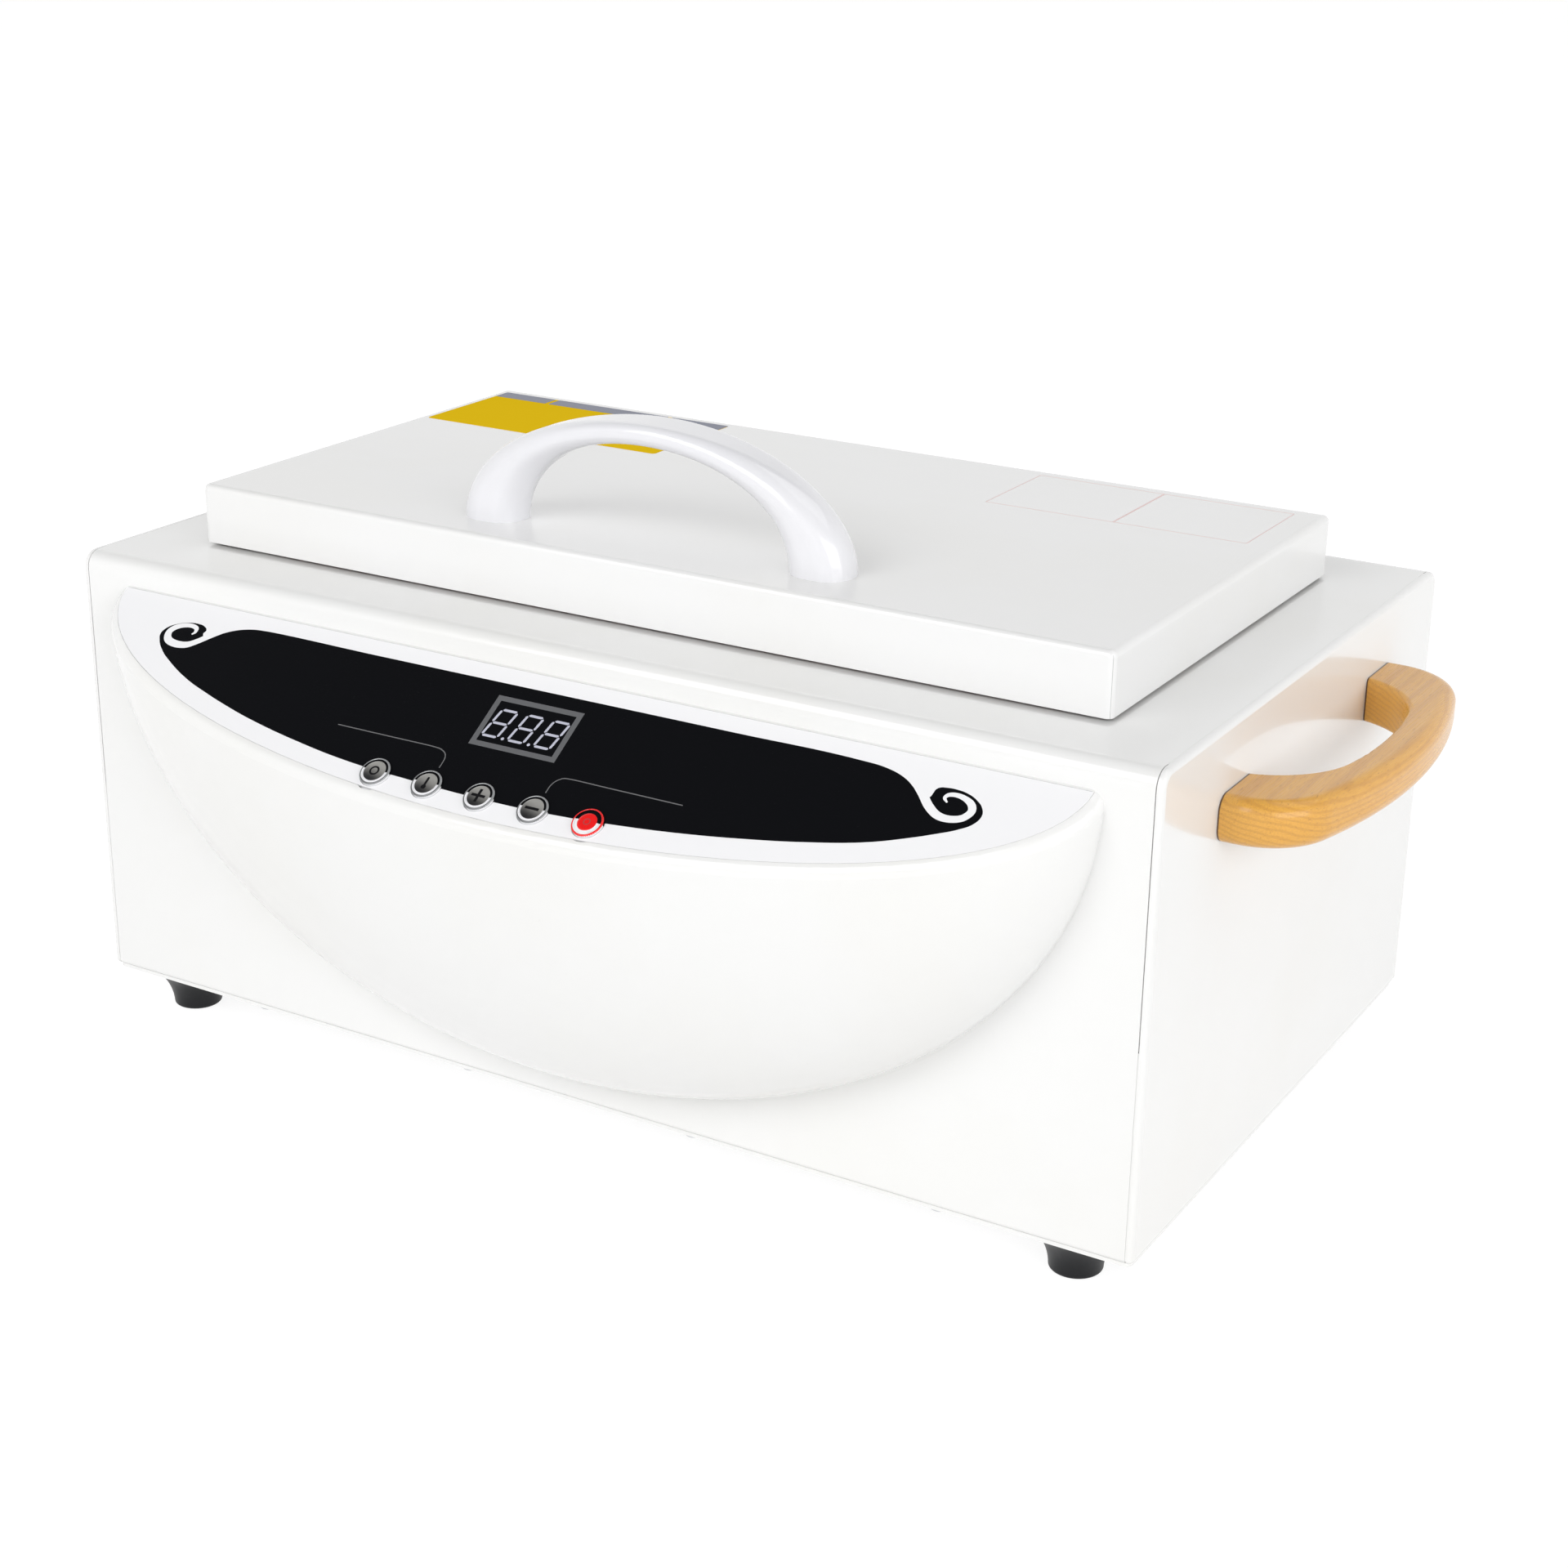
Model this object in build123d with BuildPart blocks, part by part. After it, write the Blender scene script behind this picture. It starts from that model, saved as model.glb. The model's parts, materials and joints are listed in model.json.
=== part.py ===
from build123d import *
from math import asin, cos, degrees, pi, radians, sin, sqrt, tan
import os

# Dry heat sterilizer: a sheet steel casing with a heated stainless tub under a hinged lid, a bowl shaped
# front bezel with a sloping key panel, wooden carrying handles at the sides and four rubber feet.
# Millimetres. +X is the user's right, +Y is the rear, +Z is up. Z = 0 is the table, X = 0 the middle.

os.makedirs("parts", exist_ok=True)

# ---------------------------------------------------------------- driving dimensions
# Casing
casing_width = 360.0
casing_depth = 212.0
casing_height = 139.0
sheet = 1.0                    # painted steel sheet
top_bend = 5.0                 # outside bend radius of the wrap, front to top and top to back
foot_bend = 1.6                # outside bend radius of the wrap at its bottom flanges
bottom_flange = 10.0           # width of the wrap's in-turned bottom flanges
aperture_length = 60.0         # cable opening behind the bezel
aperture_width = 14.0
aperture_height = 96.0         # middle above the casing's lower edge
pan_rim = 2.0                  # how far a side panel wraps round onto the front, top and back
pan_round = 1.6                # rounding of a side panel's outer edge
pan_tongue = 9.0               # lip of a side panel that slips inside the wrap
slip = 0.05                    # clearance of parts that slip together in one body
seam = 0.3                     # open seam between wrap and side panel

# Base and feet
base_sheet = 1.2
base_inset = 1.0               # base plate edge behind the casing's outside
foot_height = 12.4
foot_top_radius = 12.5
foot_waist_radius = 8.7        # at half height, the foot flares above it
foot_bottom_radius = 7.6
foot_round = 0.9
foot_recess_depth = 4.0        # screw head above the table
foot_inset_x = 22.0
foot_inset_y = 14.0
base_screw_count = 4           # in each of the two rows
base_screw_pitch = 80.0
base_vent_x = 90.0
base_vent_count = 7
base_vent_pitch = 9.0
base_vent_length = 46.0
base_vent_width = 3.0

# Lid
lid_length = 307.0
lid_width = 159.0
lid_height = 18.4
lid_gap = 1.0                  # from the casing's top to the lid's lower edge
lid_round = 2.0
liner_sheet = 0.6
gasket_height = 3.0
gasket_width = 5.0
gasket_gap = 0.3               # between gasket and tub flange
plug_depth = 8.0               # liner's plug below its rim
plug_clearance = 6.0           # plug to tub wall
plug_round = 2.4
liner_upstand = 7.0            # liner's rim inside the lid's walls
board_play = 0.4               # insulation board inside the liner, both sides together
board_corner = 3.0
board_chamfer = 1.6

# Lid handle
arch_span = 131.0              # outside width over the legs
arch_rise = 35.8
arch_inner_span = 92.0
arch_inner_rise = 29.6
arch_depth = 16.5              # front to back
arch_setback = 12.5            # from the lid's front edge
arch_softness = 0.48           # corner radius of its section as a share of the section's thinner side
arch_sections = 12
arch_screw_depth = 12.0

# Tub
tub_length = 276.0             # inside
tub_width = 128.0              # inside
tub_depth = 62.0               # below the casing's top
tub_sheet = 0.8
tub_corner = 16.0
tub_floor_round = 7.0
tub_flange = 7.0
stud_length = 8.0

# Instrument tray
tray_end_room = 10.0           # between the tray's ends and the tub
tray_side_room = 10.0          # between the tray's long sides and the tub
tray_height = 24.0
tray_sheet = 0.8
tray_corner = 12.0
tray_pad_height = 3.0
tray_tab_width = 34.0
tray_tab_height = 12.0
tray_tab_overlap = 2.0
tray_hole_radius = 2.5
tray_hole_pitch = 16.0
tray_hole_margin = 20.0        # left free of holes along the tray's edges
tray_pad_inset = 16.0
tray_pad_radius = 5.0
tray_floor_round = 3.0

# Heater, insulation and its shield
heater_end_margin = 23.0       # inside the tub's end walls
heater_side_margin = 18.0      # inside the tub's long walls
heater_corner = 4.0
heater_thickness = 2.5
clamp_thickness = 1.2
clamp_margin = 2.0             # the clamp sheet reaches past the heater
stud_end_inset = 25.0          # from the heater's ends
stud_side_inset = 10.0         # from the heater's long sides
nut_height = 3.2
nut_across = 7.0
stack_room = 9.5               # room under the tub for the heater, its clamp and the nuts
blanket = 11.0                 # thickness of the ceramic blanket
shield_sheet = 0.6
probe_radius = 2.5
probe_length = 40.0
probe_gap = 2.0                # between the clamp sheet and the probe
clip_length = 12.0
clip_sheet = 0.8
clip_wing = 3.0
cutout_radius = 8.0
cutout_height = 9.0
cutout_x = 58.0
cutout_ear_length = 26.0
cutout_ear_width = 7.0
cutout_ear_sheet = 1.2
blade_spacing = 8.0
blade_sheet = 0.8
blade_width = 6.0
blade_length = 6.0

# Front bezel: a quarter of an ellipsoid, cut by the sloping key panel
bezel_half_width = 164.5
bezel_drop = 121.5             # from the slope's hinge line down to the lowest point
bezel_reach = 46.5             # forward half axis of the ellipsoid
bezel_line_height = 131.0      # height of the slope's upper edge above the casing's lower edge
slope_angle = 57.0             # slope from the vertical
bezel_wall = 2.5
slope_wall = 2.8
crest_round = 4.0
overlay_thickness = 0.8
overlay_rim = 2.9              # bezel edge left around the overlay
overlay_top_margin = 0.7
bezel_boss_radius = 4.0
bezel_boss_places = ((-112, 92), (112, 92), (-62, 38), (62, 38))

# Keys and display, in the slope's plane: X across, V down the slope from its upper edge
key_pitch = 17.75
key_middle_x = -1.8
key_row = 44.3
key_radius = 4.6
key_hole_clearance = 0.2
key_flange = 1.0
key_flange_height = 0.8
key_proud = 0.9
key_travel = 0.5
key_spare = 0.15               # left between plunger and switch when a key is fully down
plunger_radius = 1.5
key_dome = 0.35
window_length = 28.9
window_width = 17.9
window_x = -1.1
window_row = 19.2
module_length = 27.0
module_width = 16.0
board_depth = 9.5              # from the slope's face to the control board
board_sheet = 1.6
control_length = 132.0
control_top_row = 9.0
control_bottom_row = 49.0
control_screw_x = 60.0
control_boss_radius = 3.0
switch_side = 6.0
switch_height = 2.4
actuator_radius = 1.7

# Hinges
hinge_x = 105.0
hinge_length = 40.0
hinge_knuckles = 5
hinge_setback = 5.0            # hinge axis behind the lid's rear wall
hinge_rise = 4.5               # hinge axis above the casing's top
barrel_radius = 3.0
hinge_pin_radius = 1.25
pin_running_clearance = 0.05
knuckle_gap = 0.3
leaf_sheet = 1.2
pin_overhang = 0.8
pin_head_radius = 2.05
base_leaf_reach = 13.0         # behind the hinge axis
base_leaf_toe = 1.5            # in front of the hinge axis
lid_leaf_toe = 2.0             # below the hinge axis
lid_leaf_margin = 2.6          # below the lid's top
hinge_screw_x = 12.0
hinge_screw_radius = 1.2
hinge_screw_inset = 4.0        # from the base leaf's rear edge and from the lid leaf's upper edge

# Side handles
grip_half_length = 68.0
grip_inner_half_length = 46.0
grip_reach = 32.0
grip_end_radius = 22.0         # outer corners
grip_end_straight = 4.0        # from the side panel to the corner arc
grip_gap = 21.5                # finger room at the middle
grip_gap_end = 19.5            # finger room at the ends of its flat middle part
grip_gap_half_flat = 24.0
grip_thickness = 13.5
grip_height = 113.7            # middle above the casing's lower edge
grip_outer_round = 4.5
grip_inner_round = 1.5
grip_screw_y = 57.0
grip_screw_radius = 2.0
grip_screw_length = 14.0

# Rear: power inlet, power switch, vents
inlet_x = -120.0
inlet_height = 38.0            # middle above the casing's lower edge
inlet_flange_length = 48.0
inlet_flange_width = 24.0
inlet_flange_thickness = 2.0
inlet_body_length = 27.0
inlet_body_width = 19.5
inlet_body_depth = 20.0
socket_length = 24.0
socket_width = 16.4
socket_depth = 16.0
socket_corner = 4.0
inlet_pin_side = 7.0           # outer pins beside the middle one
inlet_pin_drop = 1.0           # outer pins below the socket's middle
inlet_pin_rise = 3.0           # middle pin above the socket's middle
inlet_pin_width = 4.0
inlet_pin_thickness = 2.0
inlet_pin_recess = 3.0         # pin tips behind the flange
inlet_tab_length = 8.0         # behind the inlet's body
inlet_screw_spacing = 40.0
switch_x = -72.0
rocker_flange_length = 21.0
rocker_flange_width = 15.0
rocker_flange_thickness = 2.0
rocker_body_length = 19.0
rocker_body_width = 13.0
rocker_body_depth = 14.0
rocker_side_wall = 1.3
rocker_end_wall = 0.9
rocker_clearance = 0.3
rocker_lean = 11.0
rocker_pivot_depth = 3.0       # behind the casing's rear face
rocker_valley = 3.4            # from the pivot to the middle of the rocker's face
rocker_back = 2.0
rocker_pin_radius = 1.0
rear_vent_count = 8
rear_vent_pitch = 8.0
rear_vent_length = 40.0
rear_vent_width = 3.0
rear_vent_x = 95.0
rear_vent_height = 45.0

# Power board
power_board_length = 120.0
power_board_width = 74.0
power_board_x = -10.0
standoff_height = 6.0
standoff_radius = 3.0
board_connector = (16.0, 6.0, 7.0)
board_screw_radius = 1.25
board_screw_length = 6.4
board_screw_inset = 5.0
relay_size = (19.0, 15.0, 15.5)
relay_place = (30.0, 14.0)     # from the middle of the board
relay_round = 0.8
transformer_size = (36.0, 30.0, 27.0)
transformer_place = (-34.0, 14.0)
transformer_round = 2.0
terminal_size = (42.0, 11.0, 12.0)
terminal_hole_depth = 6.0
lead_setback = 14.0            # leads and terminal block in front of the board's middle
lead_radius = 1.4
lead_spacing = 8.0
lead_insert = 5.0              # of a lead in the terminal block
cable_radius = 3.0
cable_bend = 14.0
cable_turn_y = 12.0            # behind the board's middle, where the cable turns down
cable_turn_x = 18.0            # beside the inlet, where it turns to the board
cable_rise = 6.0               # above the board, at the terminal block
ribbon_x = 40.0
ribbon_row = 24.0              # down the slope, where it leaves the control board
ribbon_width = 14.0
ribbon_thickness = 1.0
ribbon_bend = 5.0
ribbon_start = 9.0             # straight out of the control board's connector
ribbon_drop = 14.0             # behind the casing's front
ribbon_offset = 10.0           # of its wide connector on the power board
connector_inset = 2.0          # from the power board's front edge

# Screws
m3_radius = 1.5
m3_head_radius = 2.9
m3_head_height = 1.7
m4_radius = 2.0
m4_head_radius = 3.8
m4_head_height = 2.4
panel_screw_length = 8.0
small_head_radius = 2.2
small_head_height = 1.1
hole_play = 0.1

# ---------------------------------------------------------------- heights and lines that follow
slope = radians(slope_angle)
crest = 1 / sqrt((sin(slope) / bezel_reach) ** 2 + (cos(slope) / bezel_drop) ** 2)
bezel_proud = crest * sin(slope)
rear_proud = inlet_flange_thickness + m3_head_height
front_y = (bezel_proud - casing_depth - rear_proud) / 2
rear_y = front_y + casing_depth
mid_y = front_y + casing_depth / 2
side_x = casing_width / 2
casing_z = foot_height + base_sheet
top_z = casing_z + casing_height
mid_z = casing_z + casing_height / 2
lid_z = top_z + lid_gap
lid_top_z = lid_z + lid_height
lid_front_y = mid_y - lid_width / 2
lid_rear_y = mid_y + lid_width / 2
flange_top_z = top_z + tub_sheet
gasket_z = flange_top_z + gasket_gap
liner_z = gasket_z + gasket_height
tub_floor_z = top_z - tub_depth
tub_under_z = tub_floor_z - tub_sheet
clamp_z = tub_under_z - heater_thickness - clamp_thickness
stack_z = tub_under_z - stack_room
shield_z = stack_z - blanket - shield_sheet
tray_length = tub_length - 2 * tray_end_room
tray_width = tub_width - 2 * tray_side_room
tray_hole_columns = int((tray_length - 2 * tray_hole_margin) / tray_hole_pitch) + 1
tray_hole_rows = int((tray_width - 2 * tray_hole_margin) / tray_hole_pitch) + 1
heater_length = tub_length - 2 * heater_end_margin
heater_width = tub_width - 2 * heater_side_margin
stud_x = heater_length / 2 - stud_end_inset
stud_y = heater_width / 2 - stud_side_inset
probe_y = mid_y + heater_width / 2 + clamp_margin + probe_gap + probe_radius
hinge_y = lid_rear_y + hinge_setback
hinge_z = top_z + hinge_rise
grip_z = casing_z + grip_height
inlet_z = casing_z + inlet_height
grip_plane = Plane(origin=(side_x, mid_y, grip_z))
grip_end_y = grip_half_length - grip_end_radius
grip_flat = grip_reach - grip_end_straight
grip_back_radius = (grip_flat**2 + grip_end_y**2 - grip_end_radius**2) / (2 * (grip_flat - grip_end_radius))
grip_end_turn = 90 - degrees(asin(grip_end_y / (grip_back_radius - grip_end_radius)))
arch_y = lid_front_y + arch_setback + arch_depth / 2
arch_leg_x = (arch_span + arch_inner_span) / 4
board_z = casing_z + standoff_height
slope_plane = Plane(
    origin=(0, front_y, casing_z + bezel_line_height),
    x_dir=(1, 0, 0),
    z_dir=(0, -cos(slope), sin(slope)),
)
slope_axis = Axis(slope_plane.origin, slope_plane.z_dir)
aperture_z = casing_z + aperture_height
rear_plane = Plane(origin=(0, rear_y, 0), x_dir=(-1, 0, 0), z_dir=(0, 1, 0))
foot_places = [
    (x, y)
    for x in (-side_x + foot_inset_x, side_x - foot_inset_x)
    for y in (front_y + foot_inset_y, rear_y - foot_inset_y)
]
base_screw_places = [
    (x, y)
    for x in [(i - (base_screw_count - 1) / 2) * base_screw_pitch for i in range(base_screw_count)]
    for y in (front_y + bottom_flange / 2 + 0.5, rear_y - bottom_flange / 2 - 0.5)
]
key_names = ("menu_key", "temperature_key", "plus_key", "minus_key", "reset_key")
key_places = [(key_middle_x + (i - 2) * key_pitch, -key_row) for i in range(len(key_names))]
hinge_sides = (-hinge_x, hinge_x)
leaf_screw_x = (-hinge_screw_x, hinge_screw_x)
base_leaf_screw_y = hinge_y + base_leaf_reach - hinge_screw_inset
lid_leaf_top_z = lid_top_z - lid_leaf_margin
lid_leaf_screw_z = lid_leaf_top_z - hinge_screw_inset


def finish(part, name):
    """Names a finished piece and writes it as one STEP file."""
    part.label = name
    export_step(part, f"parts/{name}.step")


def casing_outline(inset):
    """The casing's outline seen from the side, inset by a sheet or two."""
    with BuildSketch(Plane.XY, mode=Mode.PRIVATE) as outline:
        with Locations((mid_y, mid_z)):
            Rectangle(casing_depth - 2 * inset, casing_height - 2 * inset)
        fillet(outline.vertices().group_by(Axis.Y)[-1], top_bend - inset)
        fillet(outline.vertices().group_by(Axis.Y)[0], max(foot_bend - inset, 0.3))
    return outline.sketch


def screw(head_radius, head_height, shank_radius, length):
    """A pan head screw that points up +Z from the head's bearing face at the origin."""
    with BuildPart(mode=Mode.PRIVATE) as body:
        Cylinder(shank_radius, length, align=(Align.CENTER, Align.CENTER, Align.MIN))
        Cylinder(head_radius, head_height, align=(Align.CENTER, Align.CENTER, Align.MAX))
        fillet(body.edges().sort_by(Axis.Z)[0], head_height * 0.4)
        with BuildSketch(Plane.XY.offset(-head_height)):
            Rectangle(head_radius * 1.2, head_radius * 0.25)
            Rectangle(head_radius * 0.25, head_radius * 1.2)
        extrude(amount=head_height * 0.5, mode=Mode.SUBTRACT)
    return body.part


def screws(name, places, *sizes):
    """A group of identical screws, one at each place, under one name."""
    pattern = screw(*sizes)
    with BuildPart() as group:
        with Locations(*places):
            add(pattern)
    finish(group.part, name)


# ---------------------------------------------------------------- casing wrap
wrap_half = side_x - pan_rim - seam

with BuildPart() as casing_wrap:
    with BuildSketch(Plane.YZ):
        add(casing_outline(0))
        add(casing_outline(sheet), mode=Mode.SUBTRACT)
        with Locations((mid_y, casing_z)):
            Rectangle(casing_depth - 2 * bottom_flange, 4 * sheet, mode=Mode.SUBTRACT)
    extrude(amount=wrap_half, both=True)
    with BuildSketch(Plane.XY.offset(top_z)):
        with Locations((0, mid_y)):
            RectangleRounded(tub_length + 2 * tub_sheet + 2, tub_width + 2 * tub_sheet + 2, tub_corner + 1)
    extrude(amount=-2 * sheet, mode=Mode.SUBTRACT)
    with BuildSketch(Plane.XZ.offset(-front_y)):
        with Locations((ribbon_x, aperture_z)):
            Rectangle(aperture_length, aperture_width)
        with Locations(*[(x, casing_z + z) for x, z in bezel_boss_places]):
            Circle(m3_radius + hole_play)
    extrude(amount=-2 * sheet, mode=Mode.SUBTRACT)
    with BuildSketch(rear_plane):
        with Locations((-inlet_x, inlet_z)):
            Rectangle(inlet_body_length + 2 * hole_play, inlet_body_width + 2 * hole_play)
            with GridLocations(inlet_screw_spacing, 0, 2, 1):
                Circle(m3_radius + hole_play)
        with Locations((-switch_x, inlet_z)):
            Rectangle(rocker_body_width + 2 * hole_play, rocker_body_length + 2 * hole_play)
        with Locations((-rear_vent_x, casing_z + rear_vent_height)):
            with GridLocations(rear_vent_pitch, 0, rear_vent_count, 1):
                SlotOverall(rear_vent_length, rear_vent_width, rotation=90)
    extrude(amount=-2 * sheet, mode=Mode.SUBTRACT)
    with Locations(*[(x, y, casing_z) for x, y in base_screw_places]):
        Hole(m3_radius + hole_play, 3 * sheet)
    with Locations(*[(x + dx, base_leaf_screw_y, top_z) for x in hinge_sides for dx in leaf_screw_x]):
        Hole(hinge_screw_radius + hole_play, 3 * sheet)
finish(casing_wrap.part, "casing_wrap")

# ---------------------------------------------------------------- side panels
for side, sign in (("left", -1), ("right", 1)):
    with BuildPart() as side_panel:
        with BuildSketch(Plane.YZ.offset(side_x)):
            add(casing_outline(0))
        extrude(amount=-pan_rim)
        fillet(side_panel.faces().sort_by(Axis.X)[-1].edges(), pan_round)
        with BuildSketch(Plane.YZ.offset(side_x - sheet)):
            add(casing_outline(sheet))
        extrude(amount=-pan_rim, mode=Mode.SUBTRACT)
        with BuildSketch(Plane.YZ.offset(side_x - sheet)):
            add(casing_outline(sheet + slip))
            add(casing_outline(2 * sheet + slip), mode=Mode.SUBTRACT)
        extrude(amount=-(pan_rim + pan_tongue - sheet))
        with BuildSketch(Plane.YZ.offset(side_x)):
            with Locations((mid_y, grip_z)):
                with GridLocations(2 * grip_screw_y, 0, 2, 1):
                    Circle(grip_screw_radius + hole_play)
        extrude(amount=-2 * sheet, mode=Mode.SUBTRACT)
        if sign < 0:
            mirror(about=Plane.YZ, mode=Mode.REPLACE)
    finish(side_panel.part, f"side_panel_{side}")

# ---------------------------------------------------------------- base plate, feet and their screws
with BuildPart() as base_plate:
    with BuildSketch(Plane.XY.offset(foot_height)):
        with Locations((0, mid_y)):
            RectangleRounded(casing_width - 2 * base_inset, casing_depth - 2 * base_inset, 2)
        with Locations((-base_vent_x, mid_y), (base_vent_x, mid_y)):
            with GridLocations(base_vent_pitch, 0, base_vent_count, 1):
                SlotOverall(base_vent_length, base_vent_width, rotation=90, mode=Mode.SUBTRACT)
    extrude(amount=base_sheet)
    with Locations(*[(x, y, casing_z) for x, y in base_screw_places]):
        Hole(m3_radius + hole_play, 2 * base_sheet)
    with Locations(*[(x, y, casing_z) for x, y in foot_places]):
        Hole(m4_radius + hole_play, 2 * base_sheet)
finish(base_plate.part, "base_plate")

screws(
    "base_screws",
    [(x, y, foot_height) for x, y in base_screw_places],
    m3_head_radius, m3_head_height, m3_radius, base_sheet + sheet + 3,
)

foot_recess_radius = m4_head_radius + 1.0
for name, (x, y) in zip(
    ("foot_front_left", "foot_rear_left", "foot_front_right", "foot_rear_right"), foot_places
):
    with BuildPart() as foot:
        with BuildSketch(Plane(origin=(x, y, 0), x_dir=(1, 0, 0), z_dir=(0, -1, 0))):
            with BuildLine():
                ThreePointArc(
                    (foot_bottom_radius, 0), (foot_waist_radius, foot_height / 2), (foot_top_radius, foot_height)
                )
                Polyline(
                    (foot_top_radius, foot_height), (0, foot_height), (0, 0), (foot_bottom_radius, 0)
                )
            make_face()
        revolve(axis=Axis((x, y, 0), (0, 0, 1)))
        fillet(foot.edges().sort_by(Axis.Z)[0], foot_round)
        with Locations((x, y, foot_recess_depth)):
            Cylinder(
                foot_recess_radius, foot_recess_depth,
                align=(Align.CENTER, Align.CENTER, Align.MAX), mode=Mode.SUBTRACT,
            )
            Cylinder(
                m4_radius + hole_play, foot_height,
                align=(Align.CENTER, Align.CENTER, Align.MIN), mode=Mode.SUBTRACT,
            )
    finish(foot.part, name)

foot_screw_length = foot_height - foot_recess_depth + base_sheet + nut_height + 1
screws(
    "foot_screws",
    [(x, y, foot_recess_depth) for x, y in foot_places],
    m4_head_radius, m4_head_height, m4_radius, foot_screw_length,
)

# ---------------------------------------------------------------- tub with its flange and studs
tub_outer_length = tub_length + 2 * tub_sheet
tub_outer_width = tub_width + 2 * tub_sheet
with BuildPart() as chamber_tub:
    with BuildSketch(Plane.XY.offset(tub_under_z)):
        with Locations((0, mid_y)):
            RectangleRounded(tub_outer_length, tub_outer_width, tub_corner + tub_sheet)
    extrude(amount=flange_top_z - tub_under_z)
    fillet(chamber_tub.faces().sort_by(Axis.Z)[0].edges(), tub_floor_round + tub_sheet)
    offset(amount=-tub_sheet, openings=chamber_tub.faces().sort_by(Axis.Z)[-1])
    with BuildSketch(Plane.XY.offset(top_z)):
        with Locations((0, mid_y)):
            RectangleRounded(
                tub_outer_length + 2 * tub_flange, tub_outer_width + 2 * tub_flange, tub_corner + tub_flange
            )
            RectangleRounded(tub_length, tub_width, tub_corner, mode=Mode.SUBTRACT)
    extrude(amount=tub_sheet)
    with BuildSketch(Plane.XY.offset(tub_under_z)):
        with Locations((0, mid_y)):
            with GridLocations(2 * stud_x, 2 * stud_y, 2, 2):
                Circle(m4_radius)
    extrude(amount=-stud_length)
finish(chamber_tub.part, "chamber_tub")

# ---------------------------------------------------------------- lift-out instrument tray
tray_z = tub_floor_z + tray_pad_height
with BuildPart() as instrument_tray:
    with BuildSketch(Plane.XY.offset(tray_z)):
        with Locations((0, mid_y)):
            RectangleRounded(tray_length, tray_width, tray_corner)
    extrude(amount=tray_height)
    fillet(instrument_tray.faces().sort_by(Axis.Z)[0].edges(), tray_floor_round)
    offset(amount=-tray_sheet, openings=instrument_tray.faces().sort_by(Axis.Z)[-1])
    with BuildSketch(Plane.XY.offset(tray_z)):
        with Locations((0, mid_y)):
            with GridLocations(tray_hole_pitch, tray_hole_pitch, tray_hole_columns, tray_hole_rows):
                Circle(tray_hole_radius)
    extrude(amount=2 * tray_sheet, mode=Mode.SUBTRACT)
    with BuildSketch(Plane.XY.offset(tray_z + tray_height - tray_tab_overlap)):
        with Locations((0, mid_y)):
            with GridLocations(tray_length - tray_sheet, 0, 2, 1):
                Rectangle(tray_sheet, tray_tab_width)
    extrude(amount=tray_tab_height + tray_tab_overlap)
    fillet(
        instrument_tray.edges().filter_by(Axis.X).group_by(Axis.Z)[-1], tray_tab_height * 0.6
    )
    with BuildSketch(Plane.XY.offset(tub_floor_z)):
        with Locations((0, mid_y)):
            with GridLocations(tray_length - 2 * tray_pad_inset, tray_width - 2 * tray_pad_inset, 2, 2):
                Circle(tray_pad_radius)
    extrude(amount=tray_pad_height + tray_sheet / 2)
finish(instrument_tray.part, "instrument_tray")

# ---------------------------------------------------------------- heater stack under the tub
with BuildPart() as heater_plate:
    with BuildSketch(Plane.XY.offset(tub_under_z)):
        with Locations((0, mid_y)):
            RectangleRounded(heater_length, heater_width, heater_corner)
            with GridLocations(2 * stud_x, 2 * stud_y, 2, 2):
                Circle(m4_radius + hole_play, mode=Mode.SUBTRACT)
    extrude(amount=-heater_thickness)
finish(heater_plate.part, "heater_plate")

lead_y = mid_y - lead_setback
lead_places = [(power_board_x + dx, lead_y) for dx in (-lead_spacing / 2, lead_spacing / 2)]
with BuildPart() as heater_clamp:
    with BuildSketch(Plane.XY.offset(clamp_z)):
        with Locations((0, mid_y)):
            RectangleRounded(
                heater_length + 2 * clamp_margin, heater_width + 2 * clamp_margin, heater_corner + clamp_margin
            )
            with GridLocations(2 * stud_x, 2 * stud_y, 2, 2):
                Circle(m4_radius + hole_play, mode=Mode.SUBTRACT)
        with Locations(*lead_places):
            Circle(lead_radius + 1, mode=Mode.SUBTRACT)
    extrude(amount=clamp_thickness)
finish(heater_clamp.part, "heater_clamp")

nut_places = [(x, y, casing_z) for x, y in foot_places]
nut_places += [
    (x, mid_y + y, clamp_z - nut_height) for x in (-stud_x, stud_x) for y in (-stud_y, stud_y)
]
with BuildPart() as hex_nuts:
    for place in nut_places:
        with BuildSketch(Plane(origin=place)):
            RegularPolygon(nut_across / 2, 6, major_radius=False)
            Circle(m4_radius + slip, mode=Mode.SUBTRACT)
        extrude(amount=nut_height)
finish(hex_nuts.part, "hex_nuts")

with BuildPart() as temperature_probe:
    with BuildSketch(Plane.YZ.offset(-probe_length / 2)):
        with Locations((probe_y, tub_under_z - probe_radius)):
            Circle(probe_radius)
    extrude(amount=probe_length)
    fillet(temperature_probe.edges(), 1)
finish(temperature_probe.part, "temperature_probe")

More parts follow.
